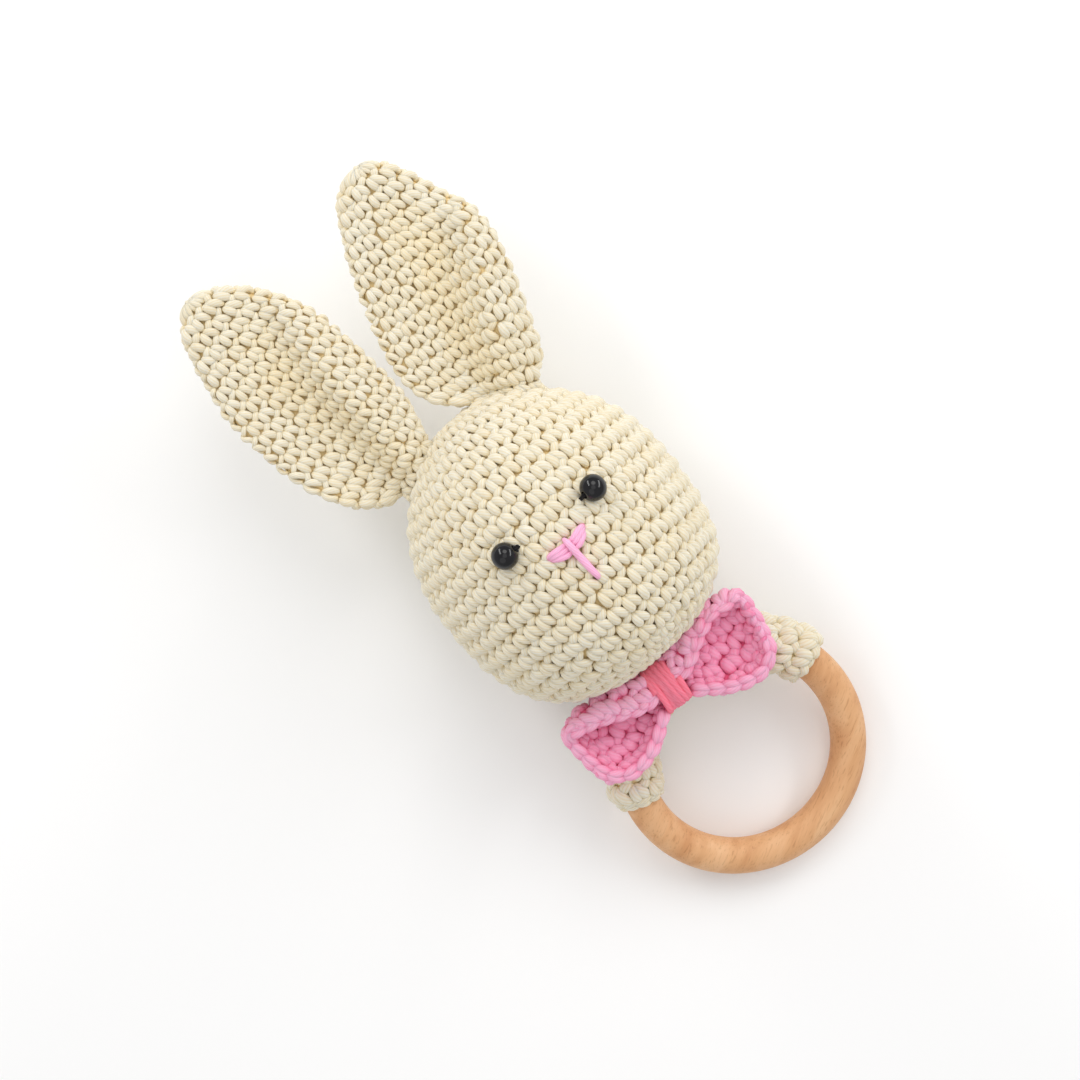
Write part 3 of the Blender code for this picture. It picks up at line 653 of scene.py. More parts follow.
def bead_material():
    material, nodes, links, shader = new_material("glossy_black_bead")
    where = nodes.new("ShaderNodeTexCoord")
    noise = nodes.new("ShaderNodeTexNoise")
    noise.inputs["Scale"].default_value = 500.0
    noise.inputs["Detail"].default_value = 2.0
    links.new(where.outputs["Object"], noise.inputs["Vector"])
    tones = ramp(nodes, [(0.3, srgb(9, 9, 12)), (0.7, srgb(20, 19, 23))])
    links.new(noise.outputs["Fac"], tones.inputs[0])
    links.new(tones.outputs[0], shader.inputs["Base Color"])
    rough = maths(nodes, links, "MULTIPLY_ADD", noise.outputs["Fac"], 0.10, 0.06)
    links.new(rough, shader.inputs["Roughness"])
    shader.inputs["Specular IOR Level"].default_value = 0.4
    return material


def plastic_material(name, colour, roughness):
    material, nodes, links, shader = new_material(name)
    where = nodes.new("ShaderNodeTexCoord")
    noise = nodes.new("ShaderNodeTexNoise")
    noise.inputs["Scale"].default_value = 350.0
    noise.inputs["Detail"].default_value = 4.0
    links.new(where.outputs["Object"], noise.inputs["Vector"])
    low = tuple(c * 0.93 for c in colour[:3]) + (1.0,)
    tones = ramp(nodes, [(0.35, low), (0.65, colour)])
    links.new(noise.outputs["Fac"], tones.inputs[0])
    links.new(tones.outputs[0], shader.inputs["Base Color"])
    rough = maths(nodes, links, "MULTIPLY_ADD", noise.outputs["Fac"], 0.15, roughness)
    links.new(rough, shader.inputs["Roughness"])
    lumps = nodes.new("ShaderNodeBump")
    lumps.inputs["Strength"].default_value = 0.15
    lumps.inputs["Distance"].default_value = 0.0001
    links.new(noise.outputs["Fac"], lumps.inputs["Height"])
    links.new(lumps.outputs[0], shader.inputs["Normal"])
    return material


# the third colour of each yarn is its painted shade colour, warm and deep, for the dips and gaps between stitches
CREAM = yarn_material("cream_cotton_yarn", srgb(231, 225, 208), srgb(234, 223, 195), srgb(246, 224, 174), subsurface=0.6)
PINK = yarn_material("pink_cotton_yarn", srgb(245, 184, 211), srgb(241, 146, 181), srgb(238, 116, 158), ply_shade=0.16, subsurface=0.4, warmth=(0.1, 1.3, 0.9))
CORAL = yarn_material("coral_cotton_yarn", srgb(255, 137, 160), srgb(255, 119, 144), srgb(232, 80, 108), plies=6.0, turn=0.75, ply_shade=0.24, subsurface=0.3, warmth=(0.1, 1.1, 1.0))
PALE_PINK = yarn_material("pale_pink_embroidery_yarn", srgb(253, 190, 222), srgb(248, 172, 208), srgb(226, 128, 168), plies=9.0, turn=0.45, ply_shade=0.2, subsurface=0.3, warmth=(0.3, 1.2, 0.9))
BLACK_THREAD = yarn_material("black_sewing_thread", srgb(30, 29, 32), srgb(20, 19, 22), srgb(6, 6, 8), plies=6.0, turn=2.0, sheen=0.1)
# the fabric under the stitches is real, but its colours sit near each yarn's painted shade colour: painted shade in the
# gaps between stitches
CREAM_BASE = fabric_base_material("cream_fabric_inside", srgb(248, 226, 176), srgb(240, 214, 158))
PINK_BASE = fabric_base_material("pink_fabric_inside", srgb(246, 118, 158), srgb(236, 94, 138))
CORAL_BASE = fabric_base_material("coral_fabric_inside", srgb(196, 66, 82), srgb(150, 34, 50))
FILL = fabric_base_material("white_fibrefill", srgb(240, 240, 236), srgb(214, 214, 210))
BEECH = wood_material()
BEAD = bead_material()
CAPSULE = plastic_material("white_moulded_plastic", (0.80, 0.80, 0.78, 1.0), 0.35)
PELLET = plastic_material("hard_plastic_pellet", (0.70, 0.70, 0.68, 1.0), 0.3)


# ---------------------------------------------------------------- head
def head_skin(depth, rows=260, columns=360):
    """The cover's surface, depth inwards from the CAD outside."""
    # the last rounds close the neck end
    fine = spline([(r, y) for r, y in HEAD_PROFILE] + [(5.2, 35.45), (2.8, 35.3), (0.4, 35.25)], rows)
    along = unit(np.gradient(fine, axis=0))
    radius = np.maximum(fine[:, 0] + along[:, 1] * depth, 0.02)
    height = fine[:, 1] - along[:, 0] * depth
    radius[0], height[0] = 0.02, fine[0, 1] - depth
    angle = -math.pi + TAU * np.arange(columns) / columns
    x = HEAD_X + radius[:, None] * np.sin(angle)[None]
    z = HEAD_Z + radius[:, None] * np.cos(angle)[None]
    floor = 0.9 + depth
    z = np.where(z < floor + 2.0, floor + 2.0 * np.exp(np.minimum((z - floor - 2.0) / 2.0, 0.0)) * 1.0, z)
    y = np.broadcast_to(height[:, None], x.shape)
    return Skin(np.stack([x, y, z], -1)), fine


def build_head(rng):
    mid, _ = head_skin(1.0)
    profile = np.stack([np.hypot(mid.p[:, 180, 0] - HEAD_X, mid.p[:, 180, 2] - HEAD_Z), mid.p[:, 180, 1]], 1)
    run = np.concatenate([[0], np.cumsum(np.linalg.norm(np.diff(profile, axis=0), axis=1))])
    rounds = int(round((run[-1] - 1.0) / 5.05))
    pitch = (run[-1] - 0.6) / rounds
    rows = []
    for i in range(rounds):
        s = 0.8 + (i + 0.5) * pitch
        v = np.interp(s, run, np.arange(len(run)))
        dv = np.interp(s + pitch / 2, run, np.arange(len(run))) - np.interp(s - pitch / 2, run, np.arange(len(run)))
        radius = np.interp(s, run, profile[:, 0])
        n = max(6, int(round(TAU * radius / 4.72)))
        rows.append((v, dv, n, -0.16 * i))
    bands = [rows[: rounds // 3], rows[rounds // 3: 2 * rounds // 3], rows[2 * rounds // 3:]]
    base_mid, _ = head_skin(1.75, 90, 120)
    inner, _ = head_skin(2.9, 90, 120)
    base = shell_mesh("head_fabric", base_mid.p, inner.p, CREAM_BASE)
    pieces = [base]
    for band, name in zip(bands, ("head_stitches_crown", "head_stitches_middle", "head_stitches_chin")):
        yarn = Yarn(10)
        lay_stitches(yarn, mid, band, rng)
        pieces.append(yarn.make(name, CREAM))
    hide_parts("head_cover")
    for piece in pieces:
        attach(piece, "head")
    return mid


# ---------------------------------------------------------------- ears
def ear_surface(spec, s, q, offset):
    """A point of the cupped ear: s along it, q across it, offset out of its face; arrays."""
    rise = math.radians(spec["rise"])
    lean = np.array([*spec["lean"], 0.0])
    lean /= np.linalg.norm(lean)
    along = lean * math.cos(rise) + np.array([0, 0, math.sin(rise)])
    across = np.array([lean[1], -lean[0], 0.0])
    out = np.cross(across, along)
    left, right = eased(spec["left"], s), eased(spec["right"], s)
    ridge = eased(spec["ridge"], s)
    inner = np.clip((ridge - 5.0 - q) / np.maximum(left + ridge - 5.0, 1.0), 0, 1.2)
    beyond = np.clip((q - ridge) / np.maximum(right - ridge, 1.0), 0, 1.2)
    wall = smooth((q - ridge + 6.5) / 9.0)
    low = eased(spec["left_rise"], s) * inner**2.2 + eased(spec["fold"], s) * (wall - 0.28 * beyond**2)
    slant = q * np.where(q > 0, spec["shear"][1], spec["shear"][0]) * np.maximum(0.0, 1.0 - s / 24.0)
    base = np.array(spec["base"])
    return base + along * (s + slant)[..., None] + across * q[..., None] + out * (low + offset)[..., None]


def ear_skin(spec, thin=1.0, rows=150, columns=160):
    """The ear's outside, thin inwards, from tip to base; columns start at its left edge and cross its face first."""
    half = columns // 2
    fine = 200
    angle = np.linspace(math.pi, -math.pi, 2 * fine + 1)
    q_share = np.cos(angle)
    o_share = np.sign(np.sin(angle)) * np.abs(np.sin(angle)) ** 0.75
    crown = [(r, y) for r, y in HEAD_PROFILE if y > 75.0]
    # where each line of the ear meets the head
    tries = np.linspace(-14.0, 14.0, 225)
    start = []
    for qs, os in zip(q_share, o_share):
        width = np.where(qs > 0, eased(spec["right"], tries), eased(spec["left"], tries)) - thin
        point = ear_surface(spec, tries, qs * width, os * (2.6 - thin) * np.ones_like(tries))
        radial = np.hypot(point[:, 0] - HEAD_X, point[:, 2] - HEAD_Z)
        inside = (radial < 36.0) & (point[:, 1] < eased(crown, radial) - 1.2)
        start.append(tries[np.where(inside)[0][-1]] if inside.any() else -14.0)
    start = np.array(start)
    stations = np.linspace(0, 1, rows) ** 1.0
    grid = []
    for part in stations:
        s = start + (spec["length"] - start) * (1 - part)
        width = np.where(q_share > 0, eased(spec["right"], s), eased(spec["left"], s))
        end = np.sqrt(np.clip(1 - (1 - part * (spec["length"] + 8) / 10.0) ** 2, 0, 1)) if part * (spec["length"] + 8) < 10 else 1.0
        thick = 2.6 + 0.9 * smooth(s / 22.0)
        thick = np.maximum(thick * (0.35 + 0.65 * end) - thin, 0.25)
        width = np.maximum(width - thin, 0.1)
        loop = ear_surface(spec, s, q_share * width, o_share * thick)
        even = []
        for part_loop in (loop[: fine + 1], loop[fine:]):
            run = np.concatenate([[0], np.cumsum(np.linalg.norm(np.diff(part_loop, axis=0), axis=1))])
            at = np.linspace(0, run[-1], half + 1)[:-1]
            even.append(np.stack([np.interp(at, run, part_loop[:, k]) for k in range(3)], 1))
        grid.append(np.concatenate(even))
    return Skin(np.array(grid))


def build_ear(name, rng):
    spec = EARS[name]
    skin = ear_skin(spec)
    middle = skin.p[:, 40]
    run = np.concatenate([[0], np.cumsum(np.linalg.norm(np.diff(middle, axis=0), axis=1))])
    count = int(round(run[-1] / 3.95))
    pitch = run[-1] / count
    rows = []
    for i in range(count):
        s = (i + 0.5) * pitch
        v = np.interp(s, run, np.arange(len(run)))
        dv = np.interp(s + pitch / 2, run, np.arange(len(run))) - np.interp(s - pitch / 2, run, np.arange(len(run)))
        loop = skin.p[int(v)]
        around = np.linalg.norm(np.roll(loop, -1, 0) - loop, axis=1).sum()
        n = max(8, 2 * int(round(around / 4.35 / 2)))
        rows.append((v, dv, n, 0.5 + 0.06 * i))
    half = skin.nu / 2

    # painted warm shade over the cupped hollow of the ear's face
    def hollow_painted_shade(u, v):
        share = np.where(u % skin.nu < half, (u % skin.nu) / half, 2.0)
        along = v / skin.nv
        return 0.26 * np.exp(-(((share - 0.52) / 0.2) ** 2)) * smooth((along - 0.1) / 0.3) * (1 - 0.5 * smooth((along - 0.8) / 0.2))

    yarn = Yarn(10)
    lay_stitches(yarn, skin, rows, rng, jitter=1.15, shade=hollow_painted_shade)
    stitches = yarn.make(name + "_stitches", CREAM)
    inside = ear_skin(spec, 1.75, 60, 80)
    points = inside.p
    nv, nu = points.shape[:2]
    j = np.arange(nu)
    j2 = (j + 1) % nu
    faces = [np.stack([r * nu + j, (r + 1) * nu + j, (r + 1) * nu + j2, r * nu + j2], 1) for r in range(nv - 1)]
    faces = np.concatenate(faces)
    loops = np.concatenate([faces.ravel(), j, (nv - 1) * nu + j[::-1]])
    starts = np.concatenate([np.arange(len(faces)) * 4, [len(faces) * 4, len(faces) * 4 + nu]])
    fabric = make_mesh(name + "_fabric", points.reshape(-1, 3), loops, starts, material=CREAM_BASE)
    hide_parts(name)
    for piece in (fabric, stitches):
        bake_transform(piece)
    # whip stitches where the ear is sewn on
    loop = skin.p[-1]
    run = np.concatenate([[0], np.cumsum(np.linalg.norm(np.roll(loop, -1, 0) - loop, axis=1))])
    number = int(run[-1] / 4.4)
    seam = Yarn(9)
    at = (np.arange(number) + 0.3) * run[-1] / number
    u = np.interp(at, run, np.arange(skin.nu + 1))
    t = np.linspace(0, 1, 8)
    point, normal = skin.at(u[:, None] + (t[None] - 0.5) * 3.5, np.full((number, 8), skin.nv - 1.0) - (t[None] * 4.5 + 0.5))
    lift = np.sin(np.pi * t) * 1.5 - 0.3
    centre = point + normal * lift[None, :, None]
    swell = np.sin(np.pi * np.clip(t * 0.9 + 0.05, 0, 1)) ** 0.4
    # painted shade at the stitch ends, where they dive into the fabric
    seam.add(centre, normal, (0.8 * swell)[None], (0.7 * swell)[None], deep=(0.5 * (1 - np.sin(np.pi * t)))[None], rng=rng)
    sewn = seam.make(name + "_whip_seam", CREAM)
    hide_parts(name + "_seam")
    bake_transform(sewn)


# ---------------------------------------------------------------- ring and sleeve
def ring_point(phi, theta, radius):
    """A point of the tilted ring: phi round it from +X, theta round its section."""
    r = RING_MAJOR + radius * np.cos(theta)
    x, y, z = r * np.cos(phi), r * np.sin(phi), radius * np.sin(theta)
    return np.stack([
        x,
        y * math.cos(RING_TILT) - z * math.sin(RING_TILT),
        RING_CENTRE_Z + y * math.sin(RING_TILT) + z * math.cos(RING_TILT),
    ], -1)


def build_ring():
    nu, nv = 64, 256
    phi, theta = np.meshgrid(TAU * np.arange(nv) / nv, TAU * np.arange(nu) / nu, indexing="ij")
    wave = 0.05 * np.sin(3 * phi + 0.7) + 0.04 * np.sin(5 * phi + 2.0) + 0.03 * np.sin(2 * phi + 2 * theta)
    points = ring_point(phi, theta, RING_MINOR - 0.06 + wave * 0.6)
    i, j = np.meshgrid(np.arange(nv), np.arange(nu), indexing="ij")
    i2, j2 = (i + 1) % nv, (j + 1) % nu
    faces = np.stack([i * nu + j, i2 * nu + j, i2 * nu + j2, i * nu + j2], -1).reshape(-1, 4)
    ring = make_mesh("turned_beech_ring", points.reshape(-1, 3), faces.ravel(), np.arange(len(faces)) * 4, material=BEECH)
    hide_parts("wooden_ring")
    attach(ring, "ring")


def sleeve_grid(radius, rows=200, columns=72):
    phi = np.radians(np.linspace(SLEEVE_START + 1.0, SLEEVE_END - 1.0, rows))
    theta = TAU * np.arange(columns) / columns
    phi, theta = np.meshgrid(phi, theta, indexing="ij")
    share = np.linspace(0, 1, rows)[:, None]
    lumps = 0.16 * np.sin(theta * 3 + share * 19.0) + 0.12 * np.sin(share * 41.0 + theta)
    return ring_point(phi, theta, radius + lumps)


def build_sleeve(rng):
    skin = Skin(sleeve_grid(6.25))
    if np.einsum("ijk,ijk->ij", skin.n, skin.p - skin.p.mean(axis=1, keepdims=True)).mean() < 0:
        skin = Skin(sleeve_grid(6.25)[:, ::-1])
    count = 15
    step = (skin.nv - 1) / (count + 0.15)
    rows = [((i + 0.55) * step, step, 8, 0.21 * i) for i in range(count)]
    yarn = Yarn(10)
    lay_stitches(yarn, skin, rows, rng, jitter=1.3, strands=BULKY_STITCH)
    # a slip-stitched edge at both mouths
    for v, sign in ((0.8, 1), (skin.nv - 1.8, -1)):
        u = np.linspace(0, skin.nu, 60)
        point, normal = skin.at(u, np.full(60, v))
        edge = unit(skin.at(u, np.full(60, v - 2.0 * sign))[0] - skin.at(u, np.full(60, v + 2.0 * sign))[0])
        braid(yarn, point - normal * 0.35, unit(normal + edge * 0.5), 3.9, rng, spread=0.8, wide=1.0, thick=0.85)
    stitches = yarn.make("sleeve_stitches", CREAM)
    base = shell_mesh("sleeve_fabric", sleeve_grid(5.75)[:, ::1], sleeve_grid(5.28), CREAM_BASE)
    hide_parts("ring_sleeve")
    for piece in (base, stitches):
        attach(piece, "sleeve")


# ---------------------------------------------------------------- bow
LEFT_LOBE = [
    [(-8.4, 23.4, 33.2), (-8.4, 24.0, 31.8), (-8.4, 26.0, 31.0), (-8.4, 29.5, 31.2), (-8.4, 33.0, 32.4), (-8.4, 31.5, 35.2), (-8.4, 27.4, 36.2)],
    [(-13.0, 20.2, 34.0), (-13.0, 20.8, 31.6), (-13.0, 24.0, 29.8), (-13.0, 29.8, 29.6), (-13.0, 33.8, 31.8), (-13.0, 32.2, 35.4), (-13.0, 27.4, 36.8)],
    [(-19.0, 16.8, 34.4), (-19.0, 18.0, 31.2), (-19.0, 23.0, 28.8), (-19.0, 30.5, 28.8), (-19.0, 34.8, 31.8), (-19.0, 33.9, 35.2), (-19.0, 29.8, 37.0)],
    [(-25.0, 15.8, 34.2), (-25.2, 17.4, 31.0), (-25.5, 23.0, 28.7), (-25.5, 30.5, 28.9), (-25.5, 35.6, 31.8), (-25.0, 35.4, 35.2), (-24.5, 32.2, 36.9)],
    [(-29.0, 17.2, 34.2), (-30.0, 19.0, 31.8), (-30.6, 24.0, 30.2), (-30.8, 30.5, 30.2), (-30.8, 34.8, 32.4), (-30.0, 35.0, 34.9), (-28.6, 33.0, 36.3)],
    [(-30.4, 18.6, 35.0), (-31.6, 20.8, 34.2), (-32.6, 25.0, 33.8), (-33.0, 30.4, 34.0), (-32.8, 33.2, 34.8), (-31.6, 34.2, 35.9), (-30.0, 33.4, 36.7)],
]
RIGHT_LOBE = [
    [(-0.9, 23.2, 33.2), (-0.9, 24.0, 31.8), (-0.9, 26.0, 31.0), (-0.9, 29.5, 31.2), (-0.9, 33.0, 32.4), (-0.9, 31.6, 35.2), (-0.9, 27.6, 36.2)],
    [(4.0, 19.6, 34.0), (4.0, 20.4, 31.6), (4.0, 24.0, 29.8), (4.0, 30.0, 29.6), (4.0, 34.0, 31.8), (4.0, 33.0, 35.2), (4.0, 28.9, 36.8)],
    [(10.0, 16.0, 34.2), (10.0, 17.4, 31.2), (10.0, 23.0, 28.7), (10.0, 31.0, 28.8), (10.0, 35.2, 31.6), (10.0, 35.0, 34.8), (10.0, 32.4, 36.8)],
    [(16.0, 14.6, 34.0), (16.0, 16.2, 31.0), (16.0, 23.0, 28.6), (16.0, 31.2, 28.8), (16.0, 36.0, 31.6), (16.0, 36.3, 34.4), (16.0, 34.8, 36.3)],
    [(19.6, 15.6, 34.0), (20.6, 17.6, 31.6), (21.4, 23.6, 30.0), (22.0, 31.0, 30.2), (21.8, 35.0, 32.4), (21.2, 35.6, 34.4), (20.4, 34.4, 35.9)],
    [(21.8, 17.2, 34.6), (23.2, 20.2, 34.0), (24.2, 25.0, 33.6), (25.0, 30.4, 33.8), (24.8, 33.6, 34.6), (23.8, 34.8, 35.4), (22.4, 34.2, 36.2)],
]


def lobe_grid(control, rows=64, columns=48):
    """A lobe's cloth through its control points: rows from the band's rim round to the bottom rim, columns left to right."""
    control = np.array(control)
    if control[0][0][0] > control[-1][0][0]:
        control = control[::-1]
    lines = np.array([spline(section[::-1], rows) for section in control])
    grid = np.array([spline(lines[:, r], columns) for r in range(rows)])
    return grid


def build_bow(rng):
    yarn_front, yarn_back = Yarn(10), Yarn(10)
    grids = []
    for control in (LEFT_LOBE, RIGHT_LOBE):
        grid = lobe_grid(control)
        grids.append(grid)
        front = Skin(grid, closed=False)
        # seen from outside the band, the face of the hollow is the other side of the cloth
        back = Skin(grid[:, ::-1], closed=False)
        # the strands' ends stop under the chain rim
        front.reach = back.reach = 0.8
        if front.n[-20, 24][2] < 0:
            front, back = back, front
        across = np.linalg.norm(np.diff(grid[:, 24], axis=0), axis=1).sum()
        count = int(round(across / 4.9))
        step = (grid.shape[0] - 1) / count
        rows = [((i + 0.5) * step, step, 5, 0.0 if i % 2 else 0.15) for i in range(count)]
        # painted shade: the upward face's stitches are 0.16 darker than the chain rim and the underside's stitches
        lay_stitches(yarn_front, front, rows, rng, lift=0.75, jitter=1.6, strands=BULKY_STITCH, shade=lambda u, v: np.full(len(u), 0.16))
        lay_stitches(yarn_back, back, rows, rng, lift=0.75, jitter=1.6, strands=BULKY_STITCH)
    # the chain rim round each lobe
    for grid in grids:
        outer = 0 if abs(grid[0, 0, 0] - KNOT[0]) > abs(grid[0, -1, 0] - KNOT[0]) else -1
        inner = -1 if outer == 0 else 0
        order = 1 if inner == 0 else -1
        top = grid[0, ::order]
        side = grid[:, outer]
        bottom = grid[-1, ::-order]
        path = spline(np.concatenate([top[::4], side[2::5], bottom[1::4]]), 260)
        middle = grid[:, :].reshape(-1, 3).mean(axis=0)
        ups = unit(np.tile([[0.0, 0.0, 1.0]], (260, 1)) + 0.35 * unit(path - middle))
        braid(yarn_front, path + ups * 0.35, ups, 4.1, rng, spread=0.85, wide=1.15, thick=0.95)
    front = yarn_front.make("bow_stitches_front", PINK)
    back = yarn_back.make("bow_stitches_back", PINK)

    whole = np.concatenate([grids[0], grids[1]], axis=1)
    cloth = Skin(whole, closed=False)
    sheet = shell_mesh("bow_cloth", cloth.p + cloth.n * 0.55, cloth.p - cloth.n * 0.55, PINK_BASE, closed_u=False)
    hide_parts("bow")
    for piece in (sheet, front, back):
        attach(piece, "sleeve")

    # the wound tie
    turns, per = 6, 40
    t = np.linspace(0, turns, turns * per + 1)
    angle = TAU * t
    x = KNOT[0] + (t / turns - 0.5) * (KNOT_WIDTH - 0.1)
    lean = 0.45 * np.sin(angle) + 0.18 * np.sin(angle * 0.5 + 1.0)
    pulse = 0.14 * np.sin(angle * 0.37 + 0.5)
    y = KNOT[1] - 0.35 + (KNOT_HALF_Y - 0.4 + pulse) * np.sin(angle)
    z = KNOT[2] + (KNOT_HALF_Z - 0.75 + pulse) * np.cos(angle)
    path = np.stack([x + lean, y, z], 1)
    ups = unit(np.stack([np.zeros_like(t), (y - KNOT[1]) / KNOT_HALF_Y, (z - KNOT[2]) / KNOT_HALF_Z], 1))
    wound = Yarn(12)
    wound.add(path[None], ups[None], np.full((1, len(t)), 0.88), np.full((1, len(t)), 0.78), rng=rng, tint=0.5)
    extra = path[20:-20] * [1.0, 1.0, 1.0]
    extra = np.stack([KNOT[0] - (extra[:, 0] - KNOT[0]) * 0.55 + 0.3, extra[:, 1], extra[:, 2]], 1)
    inward = unit(extra - np.array([0, KNOT[1], KNOT[2]]) * [0, 1, 1] - extra * [1, 0, 0])
    wound.add((extra + inward * 0.35)[None], inward[None], np.full((1, len(extra)), 0.8), np.full((1, len(extra)), 0.6), rng=rng, tint=0.7)
    tie = wound.make("bow_tie_windings", CORAL)
    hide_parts("bow_wrap")
    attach(tie, "sleeve")


# ---------------------------------------------------------------- face
def face_at(x, y, lift, skin_depth=0.0):
    """A point lifted off the CAD face along its normal, and the normal."""
    table = sorted((py, pr) for pr, py in HEAD_PROFILE)

    def top(px, py):
        radius = eased(table, py) - skin_depth
        return HEAD_Z + np.sqrt(np.maximum(radius**2 - (px - HEAD_X) ** 2, 0.0))

    here = top(x, y)
    normal = unit(np.stack([-(top(x + 0.5, y) - here) / 0.5, -(top(x, y + 0.5) - here) / 0.5, np.ones_like(here)], -1))
    return np.stack([x, y, here], -1) + normal * np.asarray(lift)[..., None], normal


def embroider(yarn, path, lifts, wide, thick, rng, count=22):
    fine = spline([(x, y, h) for (x, y), h in zip(path, lifts)], count)
    centre, normal = face_at(fine[:, 0], fine[:, 1], fine[:, 2])
    t = np.linspace(0, 1, count)
    swell = np.sin(np.pi * np.clip(t * 0.94 + 0.03, 0, 1)) ** 0.3
    # painted shade where the thread dips below the face
    yarn.add(centre[None], normal[None], (wide * swell)[None], (thick * swell)[None],
             deep=(np.clip(0.2 - fine[:, 2], 0, 1))[None], rng=rng)


def build_face(rng):
    rise = (-0.7, 0.55, 0.85, 0.75, 0.4)
    left = Yarn(12)
    embroider(left, [(-7.7, 73.2), (-6.2, 73.3), (-4.6, 73.2), (-2.8, 73.1), (-1.3, 73.1)], rise, 0.85, 0.8, rng)
    embroider(left, [(-7.6, 73.1), (-6.0, 72.6), (-4.4, 72.2), (-2.8, 72.0), (-1.3, 72.1)], rise, 0.85, 0.8, rng)
    embroider(left, [(-7.3, 72.6), (-5.8, 71.7), (-4.2, 71.0), (-2.8, 70.7), (-1.3, 70.9)], rise, 0.8, 0.75, rng)
    left_wing = left.make("nose_strands_left", PALE_PINK)
    right = Yarn(12)
    embroider(right, [(4.9, 74.0), (3.5, 74.0), (2.0, 73.6), (0.6, 73.2), (-0.7, 73.1)], rise, 0.85, 0.8, rng)
    embroider(right, [(4.8, 73.9), (3.3, 73.2), (1.9, 72.6), (0.6, 72.2), (-0.7, 72.1)], rise, 0.85, 0.8, rng)
    embroider(right, [(4.4, 73.3), (3.0, 72.2), (1.7, 71.4), (0.6, 70.9), (-0.7, 70.9)], rise, 0.8, 0.75, rng)
    right_wing = right.make("nose_strands_right", PALE_PINK)
    mouth = Yarn(12)
    embroider(mouth, [(-1.3, 74.5), (-1.2, 73.3), (-1.15, 71.6), (-1.0, 68.6), (-0.8, 65.0), (-0.6, 62.4), (-0.55, 61.3)],
              (-0.3, 1.55, 1.75, 0.95, 0.85, 0.6, -0.9), 0.98, 0.9, rng, 34)
    line = mouth.make("mouth_strand", PALE_PINK)
    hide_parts("nose_stitch_left")
    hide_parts("nose_stitch_right")
    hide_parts("mouth_stitch")
    for piece in (left_wing, right_wing, line):
        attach(piece, "head")

    for side, (x, y) in EYES.items():
        low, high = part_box("eye_bead_" + side)
        centre = (np.array((low + high) / 2) - SHIFT) * 1000
        _, normal = face_at(np.array(x), np.array(y), np.array(0.0))
        # a rounded bead with its hole along the face, drawn down into the fabric
        centre = centre - normal * 1.3
        axis = unit(np.cross(normal, np.array([0.0, 1.0, 0.0])))
        other = np.cross(axis, normal)
        profile = []
        for a in np.linspace(-74, 74, 25):
            a = math.radians(a)
            profile.append((EYE_R * math.cos(a) ** 0.92, 0.96 * EYE_R * math.sin(a)))
        profile = [(0.8, 0.86 * profile[0][1])] + profile + [(0.8, 0.86 * profile[-1][1])]
        profile = np.array(profile)
        nu = 56
        theta = TAU * np.arange(nu) / nu
        body = (
            centre + axis * profile[:, 1][:, None, None]
            + (normal * np.cos(theta)[:, None] + other * np.sin(theta)[:, None])[None] * profile[:, 0][:, None, None]
        )
        nv = len(profile)
        j = np.arange(nu)
        j2 = (j + 1) % nu
        faces = np.concatenate([np.stack([r * nu + j, r * nu + j2, (r + 1) * nu + j2, (r + 1) * nu + j], 1) for r in range(nv)])
        faces = faces % (nv * nu)
        bead = make_mesh("bead_" + side, body.reshape(-1, 3), faces.ravel(), np.arange(len(faces)) * 4, material=BEAD)
        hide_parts("eye_bead_" + side)
        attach(bead, "head")
        thread = Yarn(8)
        reach = EYE_R * 0.93 + 0.1
        for turn in (-0.25, 0.25):
            line = [
                centre - axis * (reach + 0.2) - normal * 2.8 + other * turn,
                centre - axis * reach - normal * 1.4 + other * turn,
                centre - axis * (EYE_R * 0.86) - normal * 0.2 + other * turn,
                centre + other * turn * 0.6,
                centre + axis * (EYE_R * 0.86) - normal * 0.2 + other * turn,
                centre + axis * reach - normal * 1.4 + other * turn,
                centre + axis * (reach + 0.2) - normal * 2.8 + other * turn,
            ]
            fine = spline(line, 40)
            thread.add(fine[None], np.tile(other, (1, 40, 1)), np.full((1, 40), 0.32), np.full((1, 40), 0.32), rng=rng)
        sides = (-1, 1) if side == "left" else (-1,)
        for s in sides:
            knot = []
            for a in np.linspace(0, 2.3 * TAU, 44):
                knot.append(centre + axis * s * (EYE_R - (0.6 if side == "left" else 0.0) + 0.2 * math.sin(a * 0.5)) - normal * 1.0 - other * 0.5
                            + other * 0.42 * math.cos(a) + normal * 0.42 * math.sin(a))
            knot = np.array(knot)
            thread.add(knot[None], np.tile(normal, (1, 44, 1)), np.full((1, 44), 0.34), np.full((1, 44), 0.34), rng=rng)
        sewn = thread.make("bead_thread_" + side, BLACK_THREAD)
        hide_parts("eye_thread_" + side)
        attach(sewn, "head")


